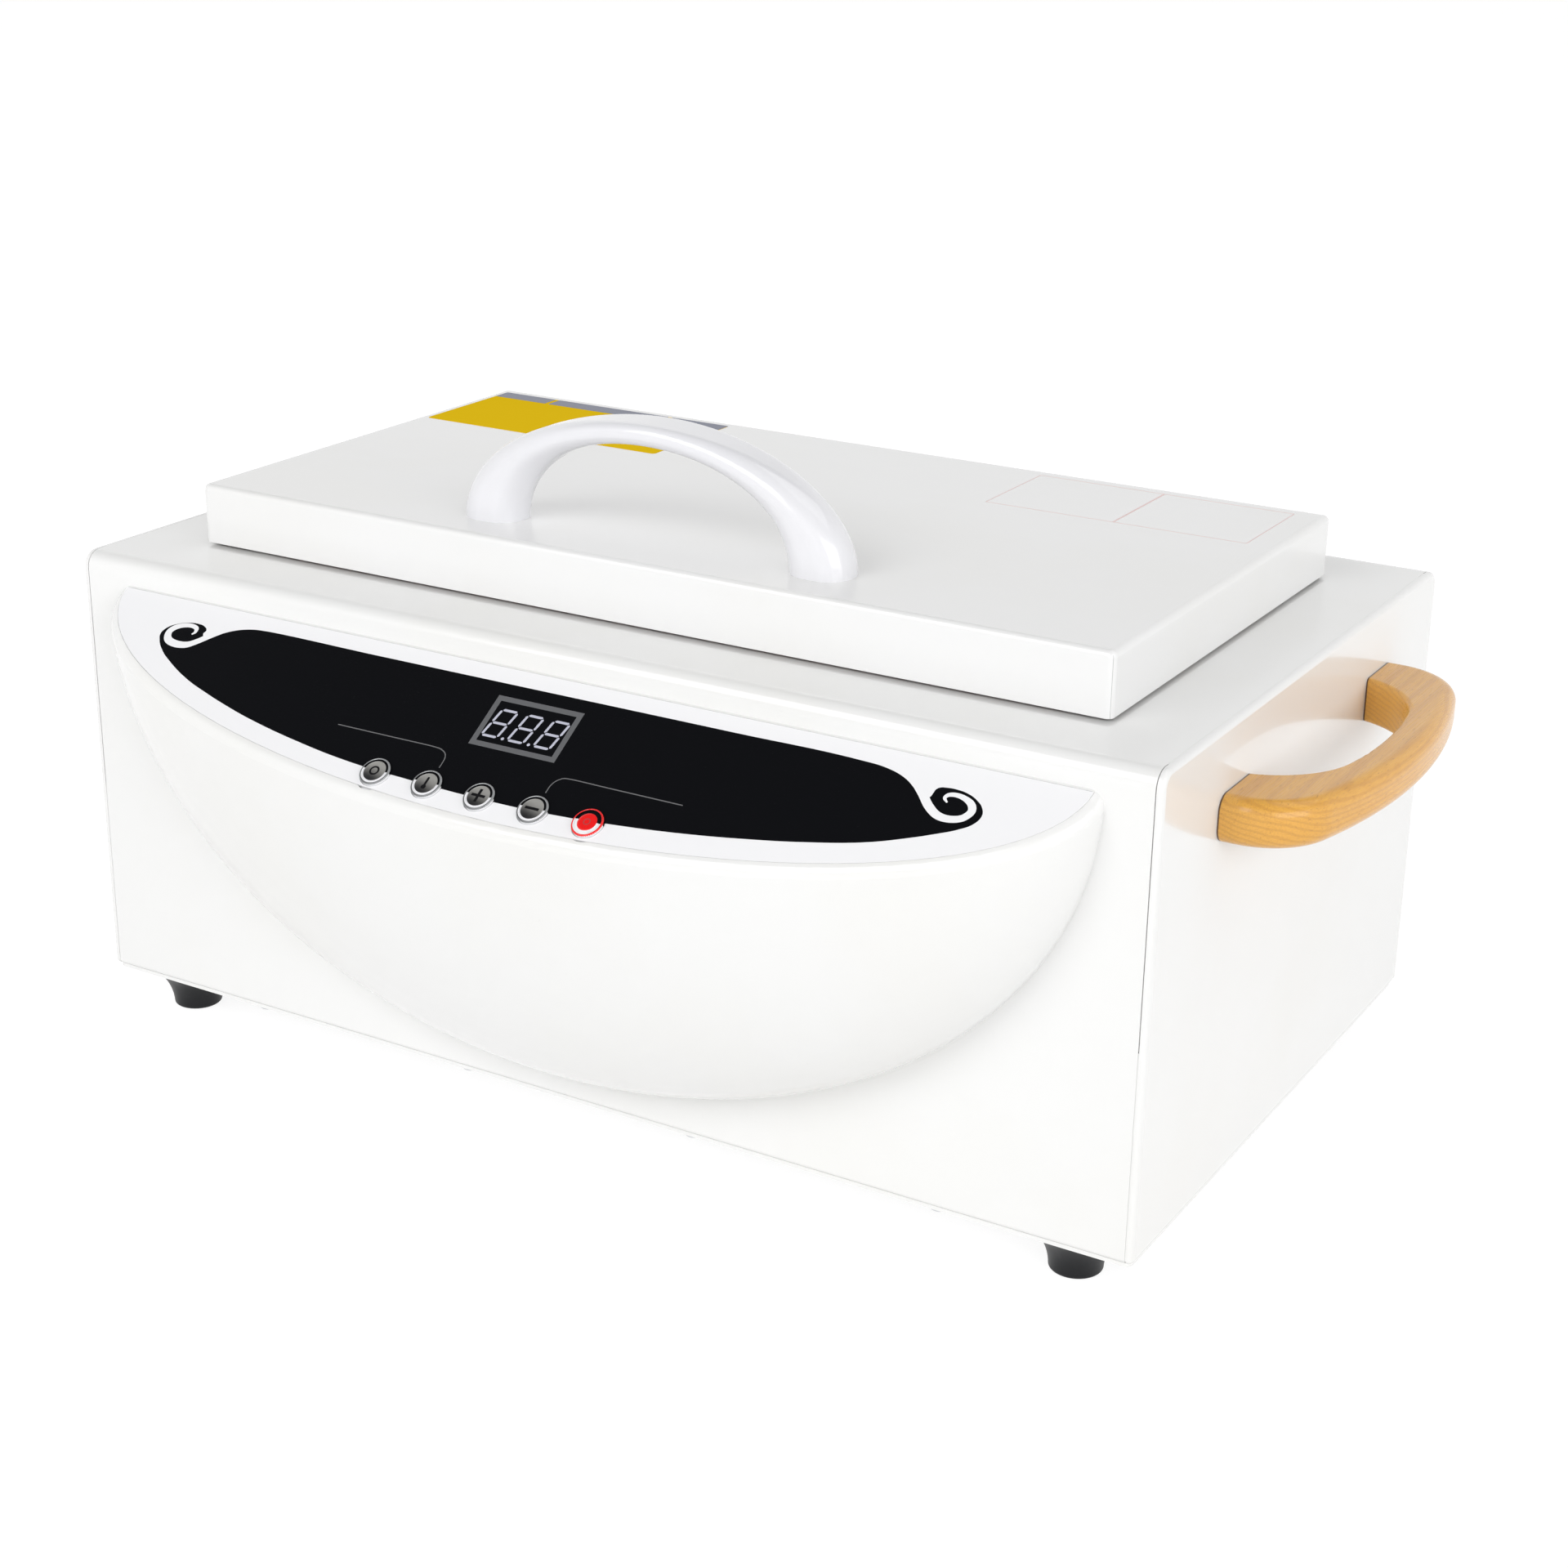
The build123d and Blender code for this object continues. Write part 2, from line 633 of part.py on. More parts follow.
with BuildPart() as probe_clip:
    with BuildSketch(Plane.YZ.offset(-clip_length / 2)):
        with Locations((probe_y, tub_under_z - probe_radius)):
            Circle(probe_radius + slip + clip_sheet)
        with Locations((probe_y, tub_under_z - probe_radius / 2)):
            Rectangle(2 * (probe_radius + slip + clip_sheet), probe_radius)
        with Locations((probe_y, tub_under_z)):
            Rectangle(2 * (probe_radius + clip_wing), 2 * clip_sheet)
            Rectangle(
                8 * probe_radius, 4 * probe_radius, align=(Align.CENTER, Align.MIN), mode=Mode.SUBTRACT
            )
        with Locations((probe_y, tub_under_z - probe_radius)):
            Circle(probe_radius + slip, mode=Mode.SUBTRACT)
        with Locations((probe_y, tub_under_z - probe_radius / 2)):
            Rectangle(2 * (probe_radius + slip), probe_radius, mode=Mode.SUBTRACT)
    extrude(amount=clip_length)
finish(probe_clip.part, "probe_clip")

with BuildPart() as thermal_cutout:
    with BuildSketch(Plane.XY.offset(clamp_z)):
        with Locations((cutout_x, mid_y)):
            Circle(cutout_radius)
            SlotOverall(cutout_ear_length, cutout_ear_width)
    extrude(amount=-cutout_ear_sheet)
    with BuildSketch(Plane.XY.offset(clamp_z)):
        with Locations((cutout_x, mid_y)):
            Circle(cutout_radius)
    extrude(amount=-cutout_height)
    fillet(thermal_cutout.faces().sort_by(Axis.Z)[0].edges(), 1)
    with BuildSketch(Plane.XY.offset(clamp_z - cutout_height)):
        with Locations((cutout_x, mid_y)):
            with GridLocations(blade_spacing, 0, 2, 1):
                Rectangle(blade_sheet, blade_width)
    extrude(amount=-blade_length)
finish(thermal_cutout.part, "thermal_cutout")

# ---------------------------------------------------------------- insulation and its shield
pocket_length = tub_outer_length + 2 * slip
pocket_width = tub_outer_width + 2 * slip
blanket_length = pocket_length + 2 * blanket
blanket_width = pocket_width + 2 * blanket
cutout_room = cutout_radius + 3
with BuildPart() as chamber_insulation:
    with BuildSketch(Plane.XY.offset(stack_z - blanket)):
        with Locations((0, mid_y)):
            RectangleRounded(blanket_length, blanket_width, tub_corner + blanket)
    extrude(amount=top_z - sheet - stack_z + blanket)
    with BuildSketch(Plane.XY.offset(stack_z)):
        with Locations((0, mid_y)):
            RectangleRounded(pocket_length, pocket_width, tub_corner + tub_sheet + slip)
    extrude(amount=tub_depth * 2, mode=Mode.SUBTRACT)
    with BuildSketch(Plane.XY.offset(stack_z)):
        with Locations((cutout_x, mid_y)):
            Circle(cutout_room)
        with Locations(*lead_places):
            Circle(lead_radius + slip)
    extrude(amount=-blanket, mode=Mode.SUBTRACT)
finish(chamber_insulation.part, "chamber_insulation")

with BuildPart() as heat_shield:
    with BuildSketch(Plane.XY.offset(shield_z)):
        with Locations((0, mid_y)):
            RectangleRounded(
                blanket_length + 2 * shield_sheet + 2 * slip,
                blanket_width + 2 * shield_sheet + 2 * slip,
                tub_corner + blanket + shield_sheet,
            )
    extrude(amount=top_z - sheet - shield_z)
    with BuildSketch(Plane.XY.offset(shield_z + shield_sheet)):
        with Locations((0, mid_y)):
            RectangleRounded(blanket_length + 2 * slip, blanket_width + 2 * slip, tub_corner + blanket)
    extrude(amount=tub_depth * 2, mode=Mode.SUBTRACT)
    with BuildSketch(Plane.XY.offset(shield_z)):
        with Locations((cutout_x, mid_y)):
            Circle(cutout_room)
        with Locations(*lead_places):
            Circle(lead_radius + slip)
    extrude(amount=shield_sheet, mode=Mode.SUBTRACT)
finish(heat_shield.part, "heat_shield")

# ---------------------------------------------------------------- lid shell, liner, board, gasket
with BuildPart() as lid_shell:
    with BuildSketch(Plane.XY.offset(lid_z)):
        with Locations((0, mid_y)):
            RectangleRounded(lid_length, lid_width, lid_round)
    extrude(amount=lid_height)
    fillet(lid_shell.faces().sort_by(Axis.Z)[-1].edges(), lid_round)
    offset(amount=-sheet, openings=lid_shell.faces().sort_by(Axis.Z)[0])
    with Locations(*[(x, arch_y, lid_top_z) for x in (-arch_leg_x, arch_leg_x)]):
        Hole(m4_radius + hole_play, 3 * sheet)
    with BuildSketch(Plane.XZ.offset(-lid_rear_y)):
        with Locations(*[(x + dx, lid_leaf_screw_z) for x in hinge_sides for dx in leaf_screw_x]):
            Circle(hinge_screw_radius + hole_play)
    extrude(amount=2 * sheet, mode=Mode.SUBTRACT)
finish(lid_shell.part, "lid_shell")

liner_length = lid_length - 2 * sheet - 2 * slip
liner_width = lid_width - 2 * sheet - 2 * slip
plug_length = tub_length - 2 * plug_clearance
plug_width = tub_width - 2 * plug_clearance
plug_corner = tub_corner - plug_clearance + 2
with BuildPart() as lid_liner:
    with BuildSketch(Plane.XY.offset(liner_z)):
        with Locations((0, mid_y)):
            RectangleRounded(liner_length, liner_width, lid_round - sheet)
    extrude(amount=liner_upstand)
    with BuildSketch(Plane.XY.offset(liner_z)):
        with Locations((0, mid_y)):
            RectangleRounded(plug_length, plug_width, plug_corner)
    extrude(amount=-plug_depth)
    fillet(lid_liner.faces().sort_by(Axis.Z)[0].edges(), plug_round)
    offset(amount=-liner_sheet, openings=lid_liner.faces().sort_by(Axis.Z)[-1])
finish(lid_liner.part, "lid_liner")

handle_screw_room = m4_head_radius + 2.5
with BuildPart() as lid_insulation:
    with BuildSketch(Plane.XY.offset(liner_z + liner_sheet)):
        with Locations((0, mid_y)):
            RectangleRounded(
                liner_length - 2 * liner_sheet - board_play,
                liner_width - 2 * liner_sheet - board_play,
                board_corner,
            )
    extrude(amount=lid_top_z - sheet - liner_z - liner_sheet)
    chamfer(lid_insulation.faces().sort_by(Axis.Z)[-1].edges(), board_chamfer)
    with BuildSketch(Plane.XY.offset(liner_z + liner_sheet)):
        with Locations((0, mid_y)):
            RectangleRounded(plug_length - 6, plug_width - 6, plug_corner)
    extrude(amount=-plug_depth)
    with BuildSketch(Plane.XY.offset(lid_top_z - sheet)):
        with Locations(*[(x, arch_y) for x in (-arch_leg_x, arch_leg_x)]):
            Circle(handle_screw_room)
    extrude(amount=-(m4_head_height + 1), mode=Mode.SUBTRACT)
finish(lid_insulation.part, "lid_insulation")

gasket_length = tub_outer_length + 2 * tub_flange - 3
gasket_outer_width = tub_outer_width + 2 * tub_flange - 3
with BuildPart() as lid_gasket:
    with BuildSketch(Plane.XY.offset(gasket_z)):
        with Locations((0, mid_y)):
            RectangleRounded(gasket_length, gasket_outer_width, tub_corner + tub_flange - 1.5)
            RectangleRounded(
                gasket_length - 2 * gasket_width, gasket_outer_width - 2 * gasket_width,
                tub_corner + tub_flange - 1.5 - gasket_width, mode=Mode.SUBTRACT,
            )
    extrude(amount=gasket_height)
    fillet(lid_gasket.faces().sort_by(Axis.Z)[0].edges(), 0.9)
finish(lid_gasket.part, "lid_gasket")

# ---------------------------------------------------------------- lid handle: an arch on two legs
with BuildPart() as lid_handle:
    for step in range(arch_sections + 1):
        turn = pi * step / arch_sections
        outer = Vector(arch_span / 2 * cos(turn), 0, arch_rise * sin(turn))
        inner = Vector(arch_inner_span / 2 * cos(turn), 0, arch_inner_rise * sin(turn))
        middle = (outer + inner) / 2 + Vector(0, arch_y, lid_top_z)
        across = (outer - inner).normalized()
        thickness = (outer - inner).length
        with BuildSketch(Plane(origin=middle, x_dir=across, z_dir=(-across.Z, 0, across.X))):
            RectangleRounded(thickness, arch_depth, arch_softness * min(thickness, arch_depth))
    loft()
    with BuildSketch(Plane.XY.offset(lid_top_z)):
        with Locations((-arch_leg_x, arch_y), (arch_leg_x, arch_y)):
            Circle(m4_radius + slip)
    extrude(amount=arch_screw_depth, mode=Mode.SUBTRACT)
finish(lid_handle.part, "lid_handle")

screws(
    "lid_handle_screws",
    [(x, arch_y, lid_top_z - sheet) for x in (-arch_leg_x, arch_leg_x)],
    m4_head_radius, m4_head_height, m4_radius, sheet + 10,
)

# ---------------------------------------------------------------- front bezel
def bowl(inset, sink):
    """A quarter ellipsoid against the casing's front, its walls inset and its slope lowered."""
    half_width = bezel_half_width - inset
    with BuildPart(mode=Mode.PRIVATE) as ball:
        Sphere(half_width)
        scale(by=(1, (bezel_reach - inset) / half_width, (bezel_drop - inset) / half_width))
    apex = slope_plane.origin.Z - sink / sin(slope)
    far = 2 * bezel_reach
    with BuildPart(mode=Mode.PRIVATE) as quarter:
        add(ball.part.moved(Location(slope_plane.origin)))
        with BuildSketch(Plane.YZ):
            with BuildLine():
                Polyline(
                    (front_y, apex),
                    (front_y - far * sin(slope), apex - far * cos(slope)),
                    (front_y - far * sin(slope), apex - 2 * bezel_drop),
                    (front_y, apex - 2 * bezel_drop),
                    close=True,
                )
            make_face()
        extrude(amount=bezel_half_width, both=True, mode=Mode.INTERSECT)
    return quarter.part


def overlay_outline(play):
    """Half an ellipse that follows the crest, with its straight edge along the casing."""
    with BuildSketch(Plane.XY, mode=Mode.PRIVATE) as outline:
        Ellipse(bezel_half_width - overlay_rim + play, crest - overlay_rim + play)
        with Locations((0, -overlay_top_margin + play)):
            Rectangle(
                3 * bezel_half_width, 3 * crest, align=(Align.CENTER, Align.MIN), mode=Mode.SUBTRACT
            )
    return outline.sketch


control_rows = (-(control_top_row + 4), -(control_bottom_row - 4))
control_screw_places = [(x, v) for x in (-control_screw_x, control_screw_x) for v in control_rows]
window_place = (window_x, -window_row)
flange_hole_radius = key_radius + key_flange + 2 * key_hole_clearance

with BuildPart() as bezel_bosses:
    with BuildSketch(Plane.XZ.offset(-front_y)):
        with Locations(*[(x, casing_z + z) for x, z in bezel_boss_places]):
            Circle(bezel_boss_radius)
    extrude(amount=bezel_reach)
    add(bowl(bezel_wall / 2, slope_wall / 2), mode=Mode.INTERSECT)

with BuildPart() as front_bezel:
    add(bowl(0, 0))
    fillet(front_bezel.edges().sort_by(Axis.Y)[0], crest_round)
    add(bowl(bezel_wall, slope_wall), mode=Mode.SUBTRACT)
    add(bezel_bosses.part)
    with BuildSketch(slope_plane.offset(-slope_wall / 2)):
        with Locations(*control_screw_places):
            Circle(control_boss_radius)
    extrude(amount=-(board_depth - slope_wall / 2))
    with BuildSketch(slope_plane):
        add(overlay_outline(hole_play))
    extrude(amount=-overlay_thickness, mode=Mode.SUBTRACT)
    with BuildSketch(slope_plane):
        with Locations(*key_places):
            Circle(flange_hole_radius)
        with Locations(window_place):
            Rectangle(module_length + 4 * hole_play, module_width + 4 * hole_play)
    extrude(amount=-2 * slope_wall, mode=Mode.SUBTRACT)
    with BuildSketch(slope_plane.offset(-board_depth)):
        with Locations(*control_screw_places):
            Circle(board_screw_radius)
    extrude(amount=board_screw_length - board_sheet + 0.4, mode=Mode.SUBTRACT)
    with BuildSketch(Plane.XZ.offset(-front_y)):
        with Locations(*[(x, casing_z + z) for x, z in bezel_boss_places]):
            Circle(m3_radius + slip)
    extrude(amount=panel_screw_length, mode=Mode.SUBTRACT)
finish(front_bezel.part, "front_bezel")

# ---------------------------------------------------------------- overlay, display, keys
with BuildPart() as control_overlay:
    with BuildSketch(slope_plane):
        add(overlay_outline(0))
        with Locations(*key_places):
            Circle(key_radius + key_hole_clearance, mode=Mode.SUBTRACT)
        with Locations(window_place):
            RectangleRounded(window_length + 2 * slip, window_width + 2 * slip, 0.8, mode=Mode.SUBTRACT)
    extrude(amount=-overlay_thickness)
finish(control_overlay.part, "control_overlay")

with BuildPart() as display_window:
    with BuildSketch(slope_plane):
        with Locations(window_place):
            RectangleRounded(window_length, window_width, 0.8)
    extrude(amount=-overlay_thickness)
finish(display_window.part, "display_window")

with BuildPart() as display_module:
    with BuildSketch(slope_plane.offset(-board_depth)):
        with Locations(window_place):
            Rectangle(module_length, module_width)
    extrude(amount=board_depth - overlay_thickness - slip)
finish(display_module.part, "display_module")

flange_top = -(overlay_thickness + key_hole_clearance)
flange_bottom = flange_top - key_flange_height
actuator_top = -(board_depth - switch_height - 1.6)
plunger_end = actuator_top + key_travel + key_spare
for name, place in zip(key_names, key_places):
    with BuildPart() as key:
        with BuildSketch(slope_plane.offset(flange_bottom)):
            with Locations(place):
                Circle(key_radius)
        extrude(amount=key_proud - flange_bottom)
        fillet(key.faces().sort_by(slope_axis)[-1].edges(), key_dome)
        with BuildSketch(slope_plane.offset(key_proud)):
            with Locations(place):
                Circle(key_radius - 0.8)
                Circle(key_radius - 1.1, mode=Mode.SUBTRACT)
        extrude(amount=-0.2, mode=Mode.SUBTRACT)
        with BuildSketch(slope_plane.offset(flange_bottom)):
            with Locations(place):
                Circle(key_radius + key_flange)
        extrude(amount=key_flange_height)
        with BuildSketch(slope_plane.offset(plunger_end)):
            with Locations(place):
                Circle(plunger_radius)
        extrude(amount=flange_bottom - plunger_end)
    finish(key.part, name)

with BuildPart() as key_switches:
    with BuildSketch(slope_plane.offset(-board_depth)):
        with Locations(*key_places):
            Rectangle(switch_side, switch_side)
    extrude(amount=switch_height)
    with BuildSketch(slope_plane.offset(-board_depth + switch_height)):
        with Locations(*key_places):
            Circle(actuator_radius)
    extrude(amount=actuator_top + board_depth - switch_height)
finish(key_switches.part, "key_switches")

control_middle = -(control_top_row + control_bottom_row) / 2
with BuildPart() as control_board:
    with BuildSketch(slope_plane.offset(-board_depth)):
        with Locations((0, control_middle)):
            Rectangle(control_length, control_bottom_row - control_top_row)
        with Locations(*control_screw_places):
            Circle(board_screw_radius + hole_play, mode=Mode.SUBTRACT)
    extrude(amount=-board_sheet)
    with BuildSketch(slope_plane.offset(-board_depth - board_sheet)):
        with Locations((ribbon_x, -ribbon_row)):
            Rectangle(board_connector[0], board_connector[1])
    extrude(amount=-board_connector[2])
finish(control_board.part, "control_board")

control_screws = [
    Plane(
        origin=slope_plane.from_local_coords((x, v, -board_depth - board_sheet)),
        x_dir=(1, 0, 0),
        z_dir=slope_plane.z_dir,
    )
    for x, v in control_screw_places
]

# ---------------------------------------------------------------- hinges
knuckle = hinge_length / hinge_knuckles


def knuckles(x, first):
    """Every other barrel section of a hinge that is centred on x, as pairs of start and length."""
    return [
        (x - hinge_length / 2 + i * knuckle + knuckle_gap / 2, knuckle - knuckle_gap)
        for i in range(first, hinge_knuckles, 2)
    ]


with BuildPart() as hinge_base_leaves:
    for x in hinge_sides:
        with BuildSketch(Plane.XY.offset(top_z)):
            with Locations((x, hinge_y - base_leaf_toe)):
                Rectangle(hinge_length, base_leaf_reach + base_leaf_toe, align=(Align.CENTER, Align.MIN))
            with Locations(*[(x + dx, base_leaf_screw_y) for dx in leaf_screw_x]):
                Circle(hinge_screw_radius + hole_play, mode=Mode.SUBTRACT)
        extrude(amount=leaf_sheet)
        for start, length in knuckles(x, 0):
            with BuildSketch(Plane.YZ.offset(start)):
                with Locations((hinge_y, hinge_z)):
                    Circle(barrel_radius)
                with Locations((hinge_y + barrel_radius / 4, top_z)):
                    Rectangle(barrel_radius * 1.5, hinge_rise, align=(Align.CENTER, Align.MIN))
                with Locations((hinge_y, hinge_z)):
                    Circle(hinge_pin_radius + slip, mode=Mode.SUBTRACT)
            extrude(amount=length)
finish(hinge_base_leaves.part, "hinge_base_leaves")

with BuildPart() as hinge_lid_leaves:
    for x in hinge_sides:
        with BuildSketch(Plane.XZ.offset(-lid_rear_y)):
            with Locations((x, hinge_z - lid_leaf_toe)):
                Rectangle(
                    hinge_length, lid_leaf_top_z - hinge_z + lid_leaf_toe, align=(Align.CENTER, Align.MIN)
                )
            with Locations(*[(x + dx, lid_leaf_screw_z) for dx in leaf_screw_x]):
                Circle(hinge_screw_radius + hole_play, mode=Mode.SUBTRACT)
        extrude(amount=-leaf_sheet)
        for start, length in knuckles(x, 1):
            with BuildSketch(Plane.YZ.offset(start)):
                with Locations((hinge_y, hinge_z)):
                    Circle(barrel_radius)
                with Locations((lid_rear_y, hinge_z)):
                    Rectangle(hinge_setback, 2 * leaf_sheet, align=(Align.MIN, Align.CENTER))
                with Locations((hinge_y, hinge_z)):
                    Circle(hinge_pin_radius + pin_running_clearance, mode=Mode.SUBTRACT)
            extrude(amount=length)
finish(hinge_lid_leaves.part, "hinge_lid_leaves")

pin_half_length = hinge_length / 2 + pin_overhang
with BuildPart() as hinge_pins:
    for x in hinge_sides:
        with BuildSketch(Plane.YZ.offset(x)):
            with Locations((hinge_y, hinge_z)):
                Circle(hinge_pin_radius)
        extrude(amount=pin_half_length, both=True)
        for end in (-pin_half_length, hinge_length / 2):
            with BuildSketch(Plane.YZ.offset(x + end)):
                with Locations((hinge_y, hinge_z)):
                    Circle(pin_head_radius)
            extrude(amount=pin_overhang)
finish(hinge_pins.part, "hinge_pins")

screws(
    "hinge_base_screws",
    [
        Plane(origin=(x + dx, base_leaf_screw_y, top_z + leaf_sheet), x_dir=(1, 0, 0), z_dir=(0, 0, -1))
        for x in hinge_sides for dx in leaf_screw_x
    ],
    small_head_radius, small_head_height, hinge_screw_radius, leaf_sheet + sheet + 1.8,
)
screws(
    "hinge_lid_screws",
    [
        Plane(origin=(x + dx, lid_rear_y + leaf_sheet, lid_leaf_screw_z), x_dir=(1, 0, 0), z_dir=(0, -1, 0))
        for x in hinge_sides for dx in leaf_screw_x
    ],
    small_head_radius, small_head_height, hinge_screw_radius, leaf_sheet + sheet,
)

# ---------------------------------------------------------------- wooden side handles
for side, sign in (("left", -1), ("right", 1)):
    with BuildPart() as grip:
        with BuildSketch(grip_plane.offset(-grip_thickness / 2)):
            with BuildLine():
                Line((0, grip_inner_half_length), (0, grip_half_length))
                Line((0, grip_half_length), (grip_end_straight, grip_half_length))
                far_end = JernArc(
                    (grip_end_straight, grip_half_length), (1, 0), grip_end_radius, -grip_end_turn
                )
                shoulder = far_end @ 1
                ThreePointArc(shoulder, (grip_reach, 0), (shoulder.X, -shoulder.Y))
                JernArc((grip_end_straight, -grip_half_length), (1, 0), grip_end_radius, grip_end_turn)
                Line((grip_end_straight, -grip_half_length), (0, -grip_half_length))
                Line((0, -grip_half_length), (0, -grip_inner_half_length))
                hollow = ThreePointArc(
                    (grip_gap_end, grip_gap_half_flat), (grip_gap, 0), (grip_gap_end, -grip_gap_half_flat)
                )
                TangentArc(hollow @ 0, (0, grip_inner_half_length), tangent=-(hollow % 0))
                TangentArc(hollow @ 1, (0, -grip_inner_half_length), tangent=hollow % 1)
            make_face()
        extrude(amount=grip_thickness)
        fillet(grip.edges().filter_by(GeomType.CIRCLE).sort_by(SortBy.RADIUS)[-4:-2], grip_inner_round)
        fillet(grip.edges().filter_by(GeomType.CIRCLE).sort_by(SortBy.RADIUS)[-2:], grip_outer_round)
        with BuildSketch(Plane.YZ.offset(side_x)):
            with Locations((mid_y, grip_z)):
                with GridLocations(2 * grip_screw_y, 0, 2, 1):
                    Circle(grip_screw_radius + slip)
        extrude(amount=grip_screw_length, mode=Mode.SUBTRACT)
        if sign < 0:
            mirror(about=Plane.YZ, mode=Mode.REPLACE)
    finish(grip.part, f"side_handle_{side}")

screws(
    "side_handle_screws",
    [
        Plane(
            origin=(sign * (side_x - sheet), mid_y + dy, grip_z), x_dir=(0, 1, 0), z_dir=(sign, 0, 0)
        )
        for sign in (-1, 1) for dy in (-grip_screw_y, grip_screw_y)
    ],
    m4_head_radius, m4_head_height, grip_screw_radius, grip_screw_length - 1,
)

# ---------------------------------------------------------------- power inlet and power switch
with BuildPart() as power_inlet:
    with BuildSketch(rear_plane):
        with Locations((-inlet_x, inlet_z)):
            RectangleRounded(inlet_flange_length, inlet_flange_width, socket_corner)
    extrude(amount=inlet_flange_thickness)
    with BuildSketch(rear_plane):
        with Locations((-inlet_x, inlet_z)):
            Rectangle(inlet_body_length, inlet_body_width)
    extrude(amount=-inlet_body_depth)
    with BuildSketch(rear_plane.offset(inlet_flange_thickness)):
        with Locations((-inlet_x, inlet_z)):
            socket = Rectangle(socket_length, socket_width)
        chamfer(socket.vertices().group_by(Axis.Y)[-1], socket_corner)
    extrude(amount=-socket_depth, mode=Mode.SUBTRACT)
    with BuildSketch(rear_plane.offset(inlet_flange_thickness)):
        with Locations((-inlet_x, inlet_z)):
            with GridLocations(inlet_screw_spacing, 0, 2, 1):
                Circle(m3_radius + hole_play)
    extrude(amount=-2 * inlet_flange_thickness, mode=Mode.SUBTRACT)
finish(power_inlet.part, "power_inlet")

pin_places = [
    (-inlet_x - inlet_pin_side, inlet_z - inlet_pin_drop),
    (-inlet_x + inlet_pin_side, inlet_z - inlet_pin_drop),
    (-inlet_x, inlet_z + inlet_pin_rise),
]
pin_root = inlet_flange_thickness - socket_depth
with BuildPart() as inlet_pins:
    with BuildSketch(rear_plane.offset(pin_root)):
        with Locations(*pin_places):
            Rectangle(inlet_pin_thickness, inlet_pin_width)
    extrude(amount=socket_depth - inlet_pin_recess)
    with BuildSketch(rear_plane.offset(-inlet_body_depth)):
        with Locations(*pin_places):
            Rectangle(blade_sheet, inlet_pin_width)
    extrude(amount=-inlet_tab_length)
finish(inlet_pins.part, "inlet_pins")

bezel_screw_places = [
    Plane(origin=(x, front_y + sheet, casing_z + z), x_dir=(1, 0, 0), z_dir=(0, -1, 0))
    for x, z in bezel_boss_places
]
inlet_screw_places = [
    Plane(
        origin=(inlet_x + dx, rear_y + inlet_flange_thickness, inlet_z), x_dir=(1, 0, 0), z_dir=(0, -1, 0)
    )
    for dx in (-inlet_screw_spacing / 2, inlet_screw_spacing / 2)
]
screws(
    "panel_screws",
    bezel_screw_places + inlet_screw_places,
    m3_head_radius, m3_head_height, m3_radius, panel_screw_length,
)

rocker_pivot = (rear_y - rocker_pivot_depth, inlet_z)
rocker_half_width = rocker_body_width / 2 - rocker_side_wall - rocker_clearance
rocker_radius = rocker_body_length / 2 - rocker_end_wall - rocker_clearance
with BuildPart() as switch_frame:
    with BuildSketch(rear_plane):
        with Locations((-switch_x, inlet_z)):
            RectangleRounded(rocker_flange_width, rocker_flange_length, 1.5)
    extrude(amount=rocker_flange_thickness)
    with BuildSketch(rear_plane):
        with Locations((-switch_x, inlet_z)):
            Rectangle(rocker_body_width, rocker_body_length)
    extrude(amount=-rocker_body_depth)
    with BuildSketch(rear_plane.offset(rocker_flange_thickness)):
        with Locations((-switch_x, inlet_z)):
            Rectangle(
                rocker_body_width - 2 * rocker_side_wall, rocker_body_length - 2 * rocker_end_wall
            )
    extrude(amount=-(rocker_body_depth + rocker_flange_thickness - rocker_side_wall), mode=Mode.SUBTRACT)
    with BuildSketch(Plane.YZ.offset(switch_x)):
        with Locations(rocker_pivot):
            Circle(rocker_pin_radius + pin_running_clearance)
    extrude(amount=rocker_body_width / 2 - 0.3, both=True, mode=Mode.SUBTRACT)
finish(switch_frame.part, "switch_frame")

rocker_rise = rocker_radius * tan(radians(rocker_lean))
with BuildPart() as switch_rocker:
    with BuildSketch(Plane.YZ.offset(switch_x)):
        with Locations(Location((*rocker_pivot, 0), (0, 0, -rocker_lean))):
            Circle(rocker_radius)
            Polygon(
                (rocker_valley, 0),
                (rocker_valley + rocker_rise, rocker_radius),
                (3 * rocker_radius, rocker_radius),
                (3 * rocker_radius, -rocker_radius),
                (rocker_valley + rocker_rise, -rocker_radius),
                align=None,
                mode=Mode.SUBTRACT,
            )
            Polygon(
                (-rocker_back, 2 * rocker_radius),
                (-2 * rocker_radius, 2 * rocker_radius),
                (-2 * rocker_radius, -2 * rocker_radius),
                (-rocker_back, -2 * rocker_radius),
                align=None,
                mode=Mode.SUBTRACT,
            )
    extrude(amount=rocker_half_width, both=True)
    with BuildSketch(Plane.YZ.offset(switch_x)):
        with Locations(rocker_pivot):
            Circle(rocker_pin_radius)
    extrude(amount=rocker_half_width + rocker_clearance + rocker_side_wall * 0.6, both=True)
finish(switch_rocker.part, "switch_rocker")

